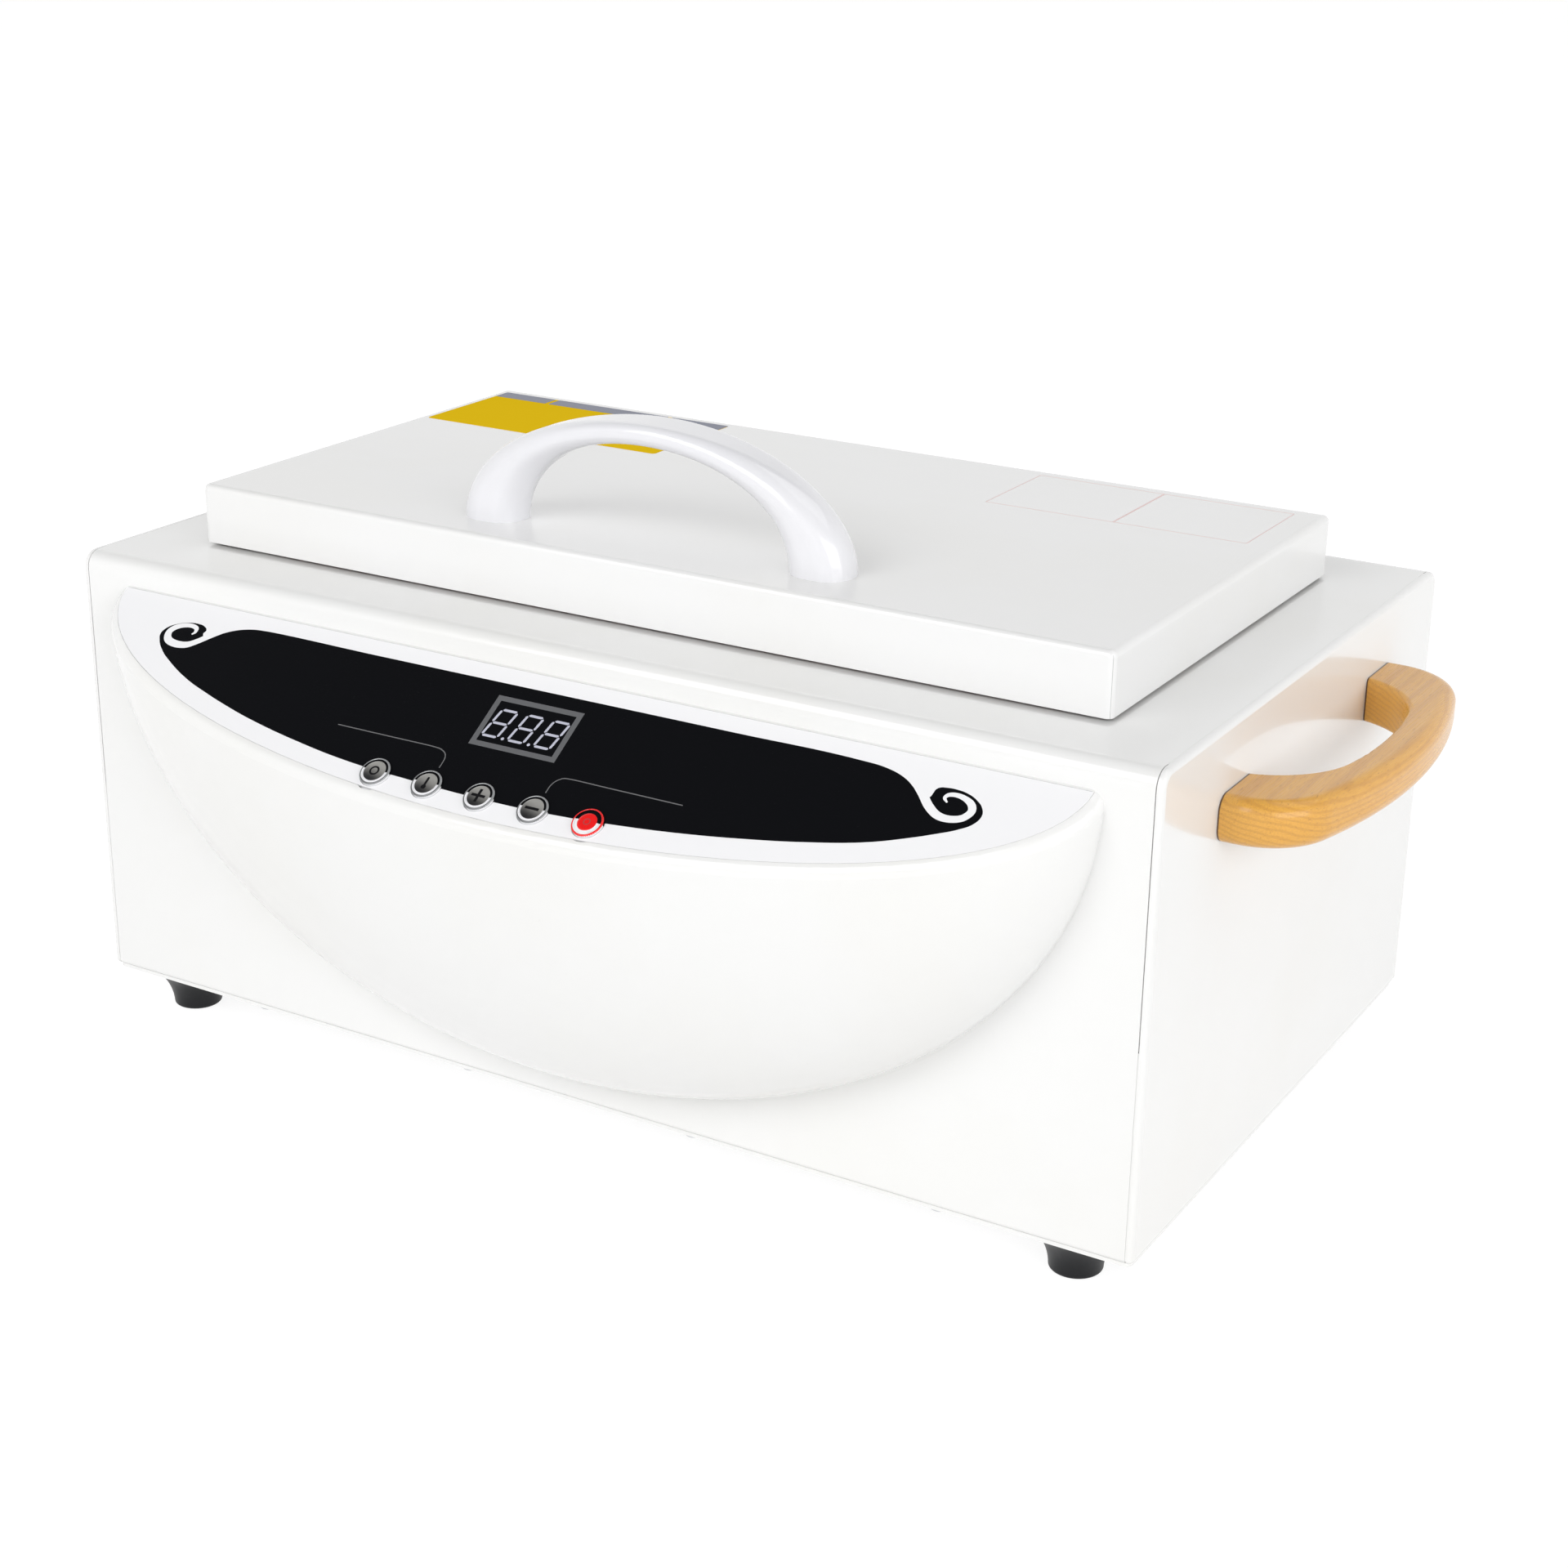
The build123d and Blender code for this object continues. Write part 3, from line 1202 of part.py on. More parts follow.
# ---------------------------------------------------------------- power board and what it carries
board_top = board_z + board_sheet
board_places = [
    (power_board_x + sx * (power_board_length / 2 - board_screw_inset),
     mid_y + sy * (power_board_width / 2 - board_screw_inset))
    for sx in (-1, 1) for sy in (-1, 1)
]
ribbon_end_y = mid_y - power_board_width / 2 + connector_inset
with BuildPart() as power_board:
    with BuildSketch(Plane.XY.offset(board_z)):
        with Locations((power_board_x, mid_y)):
            Rectangle(power_board_length, power_board_width)
        with Locations(*board_places):
            Circle(board_screw_radius + hole_play, mode=Mode.SUBTRACT)
    extrude(amount=board_sheet)
    with BuildSketch(Plane.XY.offset(board_top)):
        with Locations((ribbon_x - ribbon_offset, ribbon_end_y)):
            Rectangle(board_connector[0], board_connector[1], align=(Align.CENTER, Align.MIN))
    extrude(amount=board_connector[2])
finish(power_board.part, "power_board")

with BuildPart() as board_standoffs:
    with BuildSketch(Plane.XY.offset(casing_z)):
        with Locations(*board_places):
            RegularPolygon(standoff_radius, 6)
            Circle(board_screw_radius, mode=Mode.SUBTRACT)
    extrude(amount=standoff_height)
finish(board_standoffs.part, "board_standoffs")

power_screws = [Plane(origin=(x, y, board_top), x_dir=(1, 0, 0), z_dir=(0, 0, -1)) for x, y in board_places]
screws(
    "board_screws",
    control_screws + power_screws,
    small_head_radius, small_head_height, board_screw_radius - slip, board_screw_length,
)


def board_block(name, size, place, edge_round):
    """A plain component body that stands on the power board."""
    with BuildPart() as block:
        with BuildSketch(Plane.XY.offset(board_top)):
            with Locations((power_board_x + place[0], mid_y + place[1])):
                Rectangle(size[0], size[1])
        extrude(amount=size[2])
        fillet(block.edges().filter_by(Axis.Z), edge_round)
    finish(block.part, name)


board_block("power_relay", relay_size, relay_place, relay_round)
board_block("transformer", transformer_size, transformer_place, transformer_round)

with BuildPart() as terminal_block:
    with BuildSketch(Plane.XY.offset(board_top)):
        with Locations((power_board_x, lead_y)):
            Rectangle(terminal_size[0], terminal_size[1])
    extrude(amount=terminal_size[2])
    with BuildSketch(Plane.XY.offset(board_top + terminal_size[2])):
        with Locations((power_board_x, lead_y)):
            with GridLocations(lead_spacing, 0, 4, 1):
                Circle(lead_radius + slip)
    extrude(amount=-terminal_hole_depth, mode=Mode.SUBTRACT)
finish(terminal_block.part, "terminal_block")

lead_low_z = board_top + terminal_size[2] - lead_insert
with BuildPart() as heater_leads:
    with BuildSketch(Plane.XY.offset(lead_low_z)):
        with Locations(*lead_places):
            Circle(lead_radius)
    extrude(amount=tub_under_z - heater_thickness - lead_low_z)
finish(heater_leads.part, "heater_leads")

# ---------------------------------------------------------------- ribbon and mains cable
connector_end = slope_plane.from_local_coords(
    (ribbon_x, -ribbon_row, -(board_depth + board_sheet + board_connector[2]))
)
ribbon_turn = connector_end - slope_plane.z_dir * ribbon_start
ribbon_drop_y = front_y + ribbon_drop
ribbon_low_z = board_top + board_connector[2] / 2
with BuildPart() as ribbon_cable:
    with BuildSketch(Plane.YZ.offset(ribbon_x - ribbon_width / 2)):
        with BuildLine():
            FilletPolyline(
                (connector_end.Y, connector_end.Z),
                (ribbon_turn.Y, ribbon_turn.Z),
                (ribbon_drop_y, aperture_z - 1),
                (ribbon_drop_y, ribbon_low_z),
                (ribbon_end_y, ribbon_low_z),
                radius=ribbon_bend,
            )
        trace(line_width=ribbon_thickness)
    extrude(amount=ribbon_width)
finish(ribbon_cable.part, "ribbon_cable")

cable_start_y = rear_y - inlet_body_depth - inlet_tab_length
cable_end_x = power_board_x - terminal_size[0] / 2
with BuildPart() as mains_cable:
    with BuildLine() as cable_route:
        FilletPolyline(
            (inlet_x, cable_start_y, inlet_z),
            (inlet_x, mid_y + cable_turn_y, inlet_z),
            (inlet_x + cable_turn_x, lead_y, board_top + cable_rise),
            (cable_end_x, lead_y, board_top + cable_rise),
            radius=cable_bend,
        )
    with BuildSketch(Plane(origin=(inlet_x, cable_start_y, inlet_z), z_dir=(0, -1, 0))):
        Circle(cable_radius)
    sweep(path=cable_route.wire())
finish(mains_cable.part, "mains_cable")
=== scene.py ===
# %% [markdown]
# # A benchtop dry heat sterilizer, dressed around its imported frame
# The rigid pieces come from CAD, already in place and in metres. They could be moved about and scaled
# here by eye, but then they would no longer agree with the hinge and the keys that move them. So this
# script only gives them finishes, and adds the thin printed and moulded details that CAD leaves out.

# %% Load the frame
import json
import math
import bmesh
import bpy
from mathutils import Matrix, Vector


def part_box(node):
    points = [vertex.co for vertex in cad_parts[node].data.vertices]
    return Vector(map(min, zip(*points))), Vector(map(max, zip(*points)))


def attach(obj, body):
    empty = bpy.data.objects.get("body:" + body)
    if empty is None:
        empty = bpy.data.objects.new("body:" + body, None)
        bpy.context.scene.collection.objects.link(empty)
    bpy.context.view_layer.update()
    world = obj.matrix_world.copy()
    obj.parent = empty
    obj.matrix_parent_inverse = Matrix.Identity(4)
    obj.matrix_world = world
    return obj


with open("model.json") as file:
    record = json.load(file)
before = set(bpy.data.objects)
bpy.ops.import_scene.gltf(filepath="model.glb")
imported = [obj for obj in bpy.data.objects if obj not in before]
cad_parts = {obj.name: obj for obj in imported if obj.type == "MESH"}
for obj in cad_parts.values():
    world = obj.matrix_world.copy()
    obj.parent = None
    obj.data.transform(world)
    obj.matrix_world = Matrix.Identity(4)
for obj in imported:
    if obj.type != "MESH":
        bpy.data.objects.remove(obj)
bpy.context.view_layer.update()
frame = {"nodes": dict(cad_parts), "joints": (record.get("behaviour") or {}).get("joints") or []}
MM = 0.001

# %% [markdown]
# ## Where the camera stands
# The view looks down on the right front corner, from about twice the object's length away. A camera
# could be pointed with a tracking constraint, but a written position and three angles stay put when
# other things change. The position is measured from the casing's lower front edge.

# %% Place the camera
casing_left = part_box("side_panel_left")[0].x
casing_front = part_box("casing_wrap")[0].y
casing_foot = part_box("casing_wrap")[0].z
view_turn, view_drop, view_roll = (math.radians(a) for a in (30.35, 20.92, 0.81))
STAND_RIGHT, STAND_AHEAD, STAND_ABOVE = 0.59327, 0.58341, 0.37248
SENSOR, LENS = 36, 62.15
camera_data = bpy.data.cameras.new("view_camera")
camera_data.sensor_width = SENSOR
camera_data.lens = LENS
camera = bpy.data.objects.new("view_camera", camera_data)
stand = Vector((casing_left + STAND_RIGHT, casing_front - STAND_AHEAD, casing_foot + STAND_ABOVE))
turn = Matrix.Rotation(view_turn, 4, "Z") @ Matrix.Rotation(math.pi / 2 - view_drop, 4, "X")
camera.matrix_world = Matrix.Translation(stand) @ turn @ Matrix.Rotation(view_roll, 4, "Z")
bpy.context.scene.collection.objects.link(camera)
bpy.context.scene.camera = camera
bpy.context.scene.view_settings.view_transform = "Standard"
print("camera at", [round(c, 3) for c in stand])

# %% [markdown]
# ## Shader sums written as Python
# A finish is a small network of nodes. Wiring each Math node by hand is slow to write and hard to
# read, so one class stands for a socket and turns +, -, *, < and > into nodes. A second class holds
# the material that is being made.

# %% A socket that can be added and multiplied
class Wire:
    """An output socket of a finish, usable in sums like a number."""

    def __init__(self, finish, socket):
        self.finish = finish
        self.socket = socket

    def math(self, operation, *terms, clamp=False):
        settings = {"operation": operation, "use_clamp": clamp}
        return self.finish.node("ShaderNodeMath", settings, dict(enumerate(terms)))

    def __add__(self, other):
        return self.math("ADD", self, other)

    def __sub__(self, other):
        return self.math("SUBTRACT", self, other)

    def __rsub__(self, other):
        return self.math("SUBTRACT", other, self)

    def __mul__(self, other):
        return self.math("MULTIPLY", self, other)

    def __gt__(self, other):
        return self.math("GREATER_THAN", self, other)

    def __lt__(self, other):
        return self.math("LESS_THAN", self, other)

    __radd__ = __add__
    __rmul__ = __mul__

    def absolute(self):
        return self.math("ABSOLUTE", self)

    def clamp(self):
        return self.math("ADD", self, 0.0, clamp=True)


# %% A material under construction
class Finish:
    """A material with one Principled shader, and ways to add nodes that feed it."""

    def __init__(self, name, color, roughness, **constants):
        self.material = bpy.data.materials.new(name)
        self.material.use_nodes = True
        self.material.diffuse_color = (*color, 1)
        self.tree = self.material.node_tree
        self.tree.nodes.clear()
        self.shader = self.tree.nodes.new("ShaderNodeBsdfPrincipled")
        self.output = self.tree.nodes.new("ShaderNodeOutputMaterial")
        self.tree.links.new(self.shader.outputs[0], self.output.inputs[0])
        self.feed("Base Color", (*color, 1))
        self.feed("Roughness", roughness)
        for socket, value in constants.items():
            self.feed(socket.replace("_", " "), value)

    def node(self, kind, settings=None, sockets=None, out=0):
        """Adds a node, its settings first, and returns one of its outputs."""
        node = self.tree.nodes.new(kind)
        for name, value in (settings or {}).items():
            setattr(node, name, value)
        for name, value in (sockets or {}).items():
            self.plug(node.inputs[name], value)
        return Wire(self, node.outputs[out]) if node.outputs else node

    def plug(self, socket, value):
        if isinstance(value, Wire):
            self.tree.links.new(value.socket, socket)
        else:
            socket.default_value = value

    def feed(self, name, value):
        """Sets or links one of the shader's own sockets."""
        self.plug(self.shader.inputs[name], value)

    def place(self, stretch=(1, 1, 1)):
        """The point on the object in millimetres, optionally squeezed along its axes."""
        here = self.node("ShaderNodeTexCoord", out="Object")
        scale = tuple(1000 * s for s in stretch)
        return self.node("ShaderNodeVectorMath", {"operation": "MULTIPLY"}, {0: here, 1: scale})

    def ray(self, kind):
        """1 where the surface is met by this kind of ray."""
        return self.node("ShaderNodeLightPath", out=f"Is {kind} Ray")

    def axes(self, vector):
        """The three parts of a vector."""
        node = self.tree.nodes.new("ShaderNodeSeparateXYZ")
        self.plug(node.inputs[0], vector)
        return [Wire(self, output) for output in node.outputs]

    def noise(self, vector, size, detail=2.0, roughness=0.5):
        """Soft noise whose lumps are about size millimetres, around 0.5."""
        sockets = {"Vector": vector, "Scale": 1 / size, "Detail": detail, "Roughness": roughness}
        return self.node("ShaderNodeTexNoise", None, sockets)

    def blend(self, factor, first, second):
        """A colour between two colours."""
        sockets = {0: factor, 6: self.rgba(first), 7: self.rgba(second)}
        return self.node("ShaderNodeMix", {"data_type": "RGBA"}, sockets, out=2)

    def rgba(self, color):
        return color if isinstance(color, Wire) else (*color, 1)

    def step(self, value, low, high):
        """0 below low, 1 above high, smooth between them."""
        settings = {"interpolation_type": "SMOOTHSTEP"}
        return self.node("ShaderNodeMapRange", settings, {0: value, 1: low, 2: high})

    def wave(self, value, pitch):
        """A wave between 0 and 1 that repeats every pitch millimetres of value."""
        swing = value.math("SINE", value * (2 * math.pi / pitch))
        return swing * 0.5 + 0.5

    def bump(self, height, depth):
        """Raises the surface by height times depth millimetres."""
        sockets = {"Strength": 1.0, "Distance": depth * MM, "Height": height}
        self.feed("Normal", self.node("ShaderNodeBump", None, sockets))


print("finishes are built from", Finish.__name__, "and", Wire.__name__)

# %% [markdown]
# ## White enamel on sheet steel
# Baked enamel is nearly smooth, with a faint waviness about a centimetre across, and it dulls a
# little where cloths have wiped it. One even colour would look like paper, so the waviness goes into
# the normal, and slow noise varies the gloss and, very slightly, the colour. The lid is folded from
# one sheet, and a thin dark line marks its front corners, where two flanges meet.

# %% Enamel
FOLD_HALF_WIDTH, FOLD_RUN, FOLD_BELOW_TOP, FOLD_SHADE = 0.13, 3.0, 1.2, 0.62


def enamel(name, color, roughness, waviness, grime=0.0, fold=None):
    paint = Finish(name, color, roughness, Coat_Weight=0.6, Coat_Roughness=0.06)
    here = paint.place()
    slow = paint.noise(here, 70, 3)
    tired = tuple(c * k for c, k in zip(color, (0.985, 0.982, 0.97)))
    shade = paint.blend(paint.step(slow, 0.42, 0.72), color, tired)
    if grime:
        specks = paint.step(paint.noise(here, 1.1, 4, 0.7), 0.68, 0.74)
        patch = paint.step(paint.noise(here, 26, 2), 0.5, 0.66)
        dirt = tuple(c * k for c, k in zip(color, (0.84, 0.83, 0.8)))
        shade = paint.blend(specks * patch * grime, shade, dirt)
    if fold:
        x, y, z = paint.axes(here)
        inward, back = fold[0] - x.absolute(), y - fold[1]
        seam = ((inward - back).absolute() < FOLD_HALF_WIDTH) * (inward + back < FOLD_RUN)
        seam = seam * (z < fold[2] - FOLD_BELOW_TOP)
        shade = paint.blend(seam, shade, tuple(c * FOLD_SHADE for c in color))
    paint.feed("Base Color", shade)
    wiped = paint.noise(paint.place((0.3, 1, 1)), 16, 4)
    paint.feed("Roughness", wiped * 0.08 + (roughness - 0.04))
    paint.bump(paint.noise(here, 9, 2), waviness)
    return paint.material


lid_low, lid_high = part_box("lid_shell")
lid_corner = (lid_high.x / MM, lid_low.y / MM, lid_high.z / MM)
casing_enamel = enamel("casing_enamel", (0.87, 0.87, 0.862), 0.2, 0.006)
lid_enamel = enamel("lid_enamel", (0.85, 0.85, 0.848), 0.22, 0.006, fold=lid_corner)
print("enamel ready")

# %% [markdown]
# ## Moulded plastics and rubber
# The bezel and the arch handle are glossy mouldings. Their surface follows the polished mould, so
# only a long soft waviness shows, with a few dust specks low on the bowl. The feet and
# the inlet are matt: a fine spark-eroded grain is in their mould.

# %% Glossy mouldings
bezel_gloss = enamel("bezel_gloss", (0.87, 0.87, 0.862), 0.16, 0.004, grime=0.8)
handle_gloss = enamel("handle_gloss", (0.81, 0.81, 0.84), 0.14, 0.004)


def grained_plastic(name, color, roughness, grain=0.35, depth=0.012):
    """Matt moulding with a fine even grain and paler rubbed spots."""
    plastic = Finish(name, color, roughness, Specular_IOR_Level=0.3)
    here = plastic.place()
    rubbed = plastic.step(plastic.noise(here, 9, 4), 0.5, 0.75)
    paler = tuple(min(1.0, c * 1.25 + 0.003) for c in color)
    plastic.feed("Base Color", plastic.blend(rubbed, color, paler))
    plastic.feed("Roughness", roughness - rubbed * 0.12)
    plastic.bump(plastic.noise(here, grain, 2), depth)
    return plastic.material


black_grain = grained_plastic("black_grain", (0.02, 0.02, 0.022), 0.5)
foot_rubber = grained_plastic("foot_rubber", (0.0025, 0.003, 0.0045), 0.42, 0.5, 0.008)
gasket_red = grained_plastic("gasket_red", (0.42, 0.07, 0.045), 0.6, 0.6, 0.01)
relay_blue = grained_plastic("relay_blue", (0.02, 0.08, 0.3), 0.35)
block_green = grained_plastic("block_green", (0.02, 0.22, 0.08), 0.45)
sheath_grey = grained_plastic("sheath_grey", (0.1, 0.1, 0.105), 0.5)
rocker_red = grained_plastic("rocker_red", (0.5, 0.012, 0.01), 0.25, 0.6, 0.004)
print("plastics ready")

# %% [markdown]
# ## Metals
# Drawn and rolled sheet carries fine scratches along one direction. They could be modelled as an
# anisotropic highlight, but long thin noise in the gloss and the normal also shows the single
# scratches close up. Zinc plating shows a soft cloudiness instead.

# %% Brushed and plated metal
def brushed(name, color, roughness, stretch, depth=0.004):
    metal = Finish(name, color, roughness, Metallic=1.0)
    lines = metal.noise(metal.place(stretch), 1.0, 5, 0.7)
    cloud = metal.noise(metal.place(), 18, 3)
    dark = tuple(c * 0.94 for c in color)
    metal.feed("Base Color", metal.blend(metal.step(cloud, 0.35, 0.75), color, dark))
    metal.feed("Roughness", lines * 0.2 + (roughness - 0.1))
    metal.bump(lines, depth)
    return metal.material


tub_steel = brushed("tub_steel", (0.66, 0.65, 0.63), 0.3, (0.03, 3, 3))
tray_steel = brushed("tray_steel", (0.72, 0.72, 0.71), 0.24, (3, 0.03, 3))
zinc_plate = brushed("zinc_plate", (0.6, 0.61, 0.63), 0.36, (0.8, 0.8, 0.8))
hinge_nickel = brushed("hinge_nickel", (0.68, 0.67, 0.64), 0.28, (0.05, 3, 3))
shield_sheet = brushed("shield_sheet", (0.78, 0.78, 0.79), 0.25, (0.02, 2, 2))
pin_brass = brushed("pin_brass", (0.76, 0.6, 0.32), 0.26, (2, 0.05, 2))
print("metals ready")

# %% [markdown]
# ## Varnished beech
# The side handles are sawn from straight-grained beech. Growth rings could be painted along the
# curved outline, but real rings run straight through the board and the curve cuts across them. So
# the rings are computed in space, as slightly warped layers along the board, and the short dark
# flecks of beech are thin noise along the grain. Varnish is a clear coat on top.

# %% Beech
def beech():
    varnish = {"Specular_IOR_Level": 0.3, "Coat_Weight": 0.4, "Coat_Roughness": 0.08}
    wood = Finish("beech", (0.75, 0.41, 0.13), 0.3, **varnish)
    x, _, z = wood.axes(wood.place())
    outward = x.absolute()
    warp = wood.noise(wood.place((1, 0.03, 1)), 14, 2)
    late = wood.step(wood.wave(outward * 0.25 + z + warp * 5.0, 1.6), 0.4, 0.95)
    fibre = wood.noise(wood.place((3, 0.05, 3)), 1.0, 4, 0.6)
    flecks = wood.step(wood.noise(wood.place((2.8, 0.3, 2.8)), 1.0, 2), 0.63, 0.7)
    tone = wood.blend(wood.step(fibre, 0.3, 0.75), (0.84, 0.46, 0.1), (0.68, 0.33, 0.055))
    tone = wood.blend(late * 0.36, tone, (0.56, 0.26, 0.065))
    tone = wood.blend(flecks * 0.5, tone, (0.42, 0.18, 0.05))
    # Painted shade: the wood within a few tenths of a millimetre of the side panel is darkened,
    # standing in for the shadow in the gap where the handle meets the panel.
    painted_gap_shade = 1 - wood.step(outward, panel_face + 0.3, panel_face + 0.6)
    wood.feed("Base Color", wood.blend(painted_gap_shade, tone, (0.12, 0.06, 0.03)))
    wood.feed("Roughness", fibre * 0.12 + 0.22)
    wood.bump(fibre + flecks * 0.4, 0.02)
    return wood.material


panel_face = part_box("side_panel_right")[1].x / MM
handle_beech = beech()
print("beech ready")

# %% [markdown]
# ## Inner materials
# Insulation, circuit boards, leads and the heater show only when the lid is open or a panel is off.
# They still get a finish of their own: fibres for the blanket, copper traces under green lacquer for
# the boards, mica flakes for the heater plate.

# %% Blanket, boards, heater and leads
def wool_blanket():
    wool = Finish("wool_blanket", (0.83, 0.81, 0.76), 0.95, Sheen_Weight=0.2)
    fibres = wool.noise(wool.place((1, 0.25, 1)), 1.4, 6, 0.75)
    wool.feed("Base Color", wool.blend(fibres, (0.72, 0.69, 0.62), (0.88, 0.87, 0.83)))
    wool.bump(fibres, 0.5)
    return wool.material


def circuit_board():
    board = Finish("circuit_board", (0.012, 0.12, 0.04), 0.3)
    across = board.axes(board.place())[0]
    lanes = board.wave(across + board.noise(board.place((0.05, 0.05, 0.05)), 1.0, 0) * 40, 2.6)
    traces = board.step(lanes, 0.72, 0.8)
    board.feed("Base Color", board.blend(traces, (0.012, 0.12, 0.04), (0.05, 0.26, 0.09)))
    board.bump(traces, 0.03)
    return board.material


def flaky(name, dark, pale, size, roughness):
    sheet = Finish(name, dark, roughness)
    cells = {"Vector": sheet.place(), "Scale": 1 / size}
    flakes = sheet.node("ShaderNodeTexVoronoi", None, cells, out="Color")
    tone = sheet.axes(flakes)[0]
    sheet.feed("Base Color", sheet.blend(tone, dark, pale))
    sheet.bump(tone, 0.01)
    return sheet.material


def braided(name, dark, pale, pitch):
    sleeve = Finish(name, pale, 0.8)
    x, _, z = sleeve.axes(sleeve.place())
    weave = sleeve.wave(x + z, pitch) * sleeve.wave(x - z, pitch)
    sleeve.feed("Base Color", sleeve.blend(weave, dark, pale))
    sleeve.bump(weave, 0.1)
    return sleeve.material


blanket_wool = wool_blanket()
board_green = circuit_board()
heater_mica = flaky("heater_mica", (0.3, 0.2, 0.1), (0.5, 0.38, 0.22), 2.2, 0.45)
core_resin = flaky("core_resin", (0.03, 0.03, 0.035), (0.06, 0.06, 0.065), 1.2, 0.4)
lead_braid = braided("lead_braid", (0.5, 0.48, 0.4), (0.82, 0.8, 0.72), 0.7)
ribbon_grey = braided("ribbon_grey", (0.28, 0.28, 0.3), (0.42, 0.42, 0.44), 2.54)
print("inner finishes ready")

# %% [markdown]
# ## Printed film, window and keys
# The control overlay is a clear film printed on its back: white all over, with a glossy black
# field. The display window is smoked and almost black. A printed surface is even, so its only
# detail is a faint ripple of the film and a little dust in the gloss.

# %% Film and window
def film(name, color, roughness=0.12, ripple=0.002, shine=0.5):
    gloss = {"Specular_IOR_Level": shine, "Coat_Weight": shine / 2, "Coat_Roughness": 0.04}
    sheet = Finish(name, color, roughness, **gloss)
    here = sheet.place()
    dust = sheet.step(sheet.noise(here, 0.6, 3, 0.7), 0.66, 0.74)
    dusty = tuple(c * 0.9 + 0.02 for c in color)
    sheet.feed("Base Color", sheet.blend(dust * 0.3, color, dusty))
    sheet.feed("Roughness", dust * 0.25 + roughness)
    sheet.bump(sheet.noise(here, 6, 2), ripple)
    return sheet.material


overlay_white = film("overlay_white", (0.95, 0.95, 0.965))
print_black = film("print_black", (0.0045, 0.0048, 0.006), 0.14, shine=0.1)
print_grey = film("print_grey", (0.16, 0.16, 0.165), 0.3)
window_smoke = film("window_smoke", (0.011, 0.014, 0.032), 0.08)
surround_grey = film("surround_grey", (0.13, 0.133, 0.14), 0.3)
segment_pale = film("segment_pale", (0.55, 0.56, 0.66), 0.25)
label_yellow = film("label_yellow", (0.86, 0.57, 0.012), 0.6, shine=0.0)
label_navy = film("label_navy", (0.045, 0.06, 0.14), 0.35)
ruling_red = film("ruling_red", (0.83, 0.58, 0.55), 0.4)
key_red = film("key_red", (0.85, 0.01, 0.01), 0.2)
icon_dark = film("icon_dark", (0.004, 0.004, 0.005), 0.35, shine=0.2)
print("film finishes ready")

# %% [markdown]
# ## Giving the CAD pieces their finishes
# Every CAD node keeps its shape and gets the finish of what it is made of. A table from finish to
# nodes is easier to check than sixty separate lines.

# %% Finish table
def dress(mesh, material):
    """Gives a mesh this one material."""
    mesh.materials.clear()
    mesh.materials.append(material)


finish_of = {
    casing_enamel: "casing_wrap side_panel_left side_panel_right base_plate",
    lid_enamel: "lid_shell",
    bezel_gloss: "front_bezel",
    handle_gloss: "lid_handle",
    overlay_white: "control_overlay",
    window_smoke: "display_window",
    handle_beech: "side_handle_left side_handle_right",
    foot_rubber: "foot_front_left foot_front_right foot_rear_left foot_rear_right",
    black_grain: "power_inlet switch_frame display_module key_switches thermal_cutout",
    rocker_red: "switch_rocker",
    tub_steel: "chamber_tub lid_liner temperature_probe",
    tray_steel: "instrument_tray",
    hinge_nickel: "hinge_base_leaves hinge_lid_leaves hinge_pins",
    zinc_plate: "heater_clamp probe_clip base_screws foot_screws hex_nuts panel_screws "
    "board_screws hinge_base_screws hinge_lid_screws lid_handle_screws side_handle_screws",
    shield_sheet: "heat_shield",
    pin_brass: "inlet_pins board_standoffs",
    blanket_wool: "chamber_insulation lid_insulation",
    gasket_red: "lid_gasket",
    board_green: "control_board power_board",
    heater_mica: "heater_plate",
    core_resin: "transformer",
    relay_blue: "power_relay",
    block_green: "terminal_block",
    lead_braid: "heater_leads",
    ribbon_grey: "ribbon_cable",
    sheath_grey: "mains_cable",
}
dressed = set()
for material, names in finish_of.items():
    for name in names.split():
        dress(frame["nodes"][name].data, material)
        dressed.add(name)
print("nodes still bare:", sorted(set(frame["nodes"]) - dressed))

# %% [markdown]
# ## Drawing on the sloping panel
# The print, the display and the key tops all lie on the bezel's slope. Working in world
# coordinates would put a sine and a cosine into every point, so the panel gets its own sheet of
# paper: x to the right, y up the slope, both in millimetres from the middle of its upper edge.

# %% The panel's own coordinates
press = next(j for j in frame["joints"] if j["child"] == "menu_key")
panel_normal = -Vector(press["axis"])
bezel_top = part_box("front_bezel")[1].z
panel_up = panel_normal.cross(Vector((1, 0, 0)))
panel_turn = Matrix((Vector((1, 0, 0)), panel_up, panel_normal)).transposed().to_4x4()
panel_origin = Vector((0, casing_front, bezel_top))
panel = Matrix.Translation(panel_origin) @ panel_turn @ Matrix.Scale(MM, 4)
lid_top = Matrix.Translation(Vector((0, 0, lid_high.z))) @ Matrix.Scale(MM, 4)
print("panel leans", round(math.degrees(panel_normal.angle(Vector((0, 0, 1)))), 2), "degrees")

# %% [markdown]
# ## Flat shapes with smooth outlines
# A print is a shape with a curved outline and sometimes holes. A 2D Bezier curve with automatic
# handles passes smoothly through a few points and Blender fills it, holes included. Turned into a
# mesh, it is a thin slab that stands a few hundredths of a millimetre proud, as real ink does.

# %% Make a flat piece
WELD = 0.0005                  # points closer than this, in millimetres, become one
CURVE_STEPS = 10


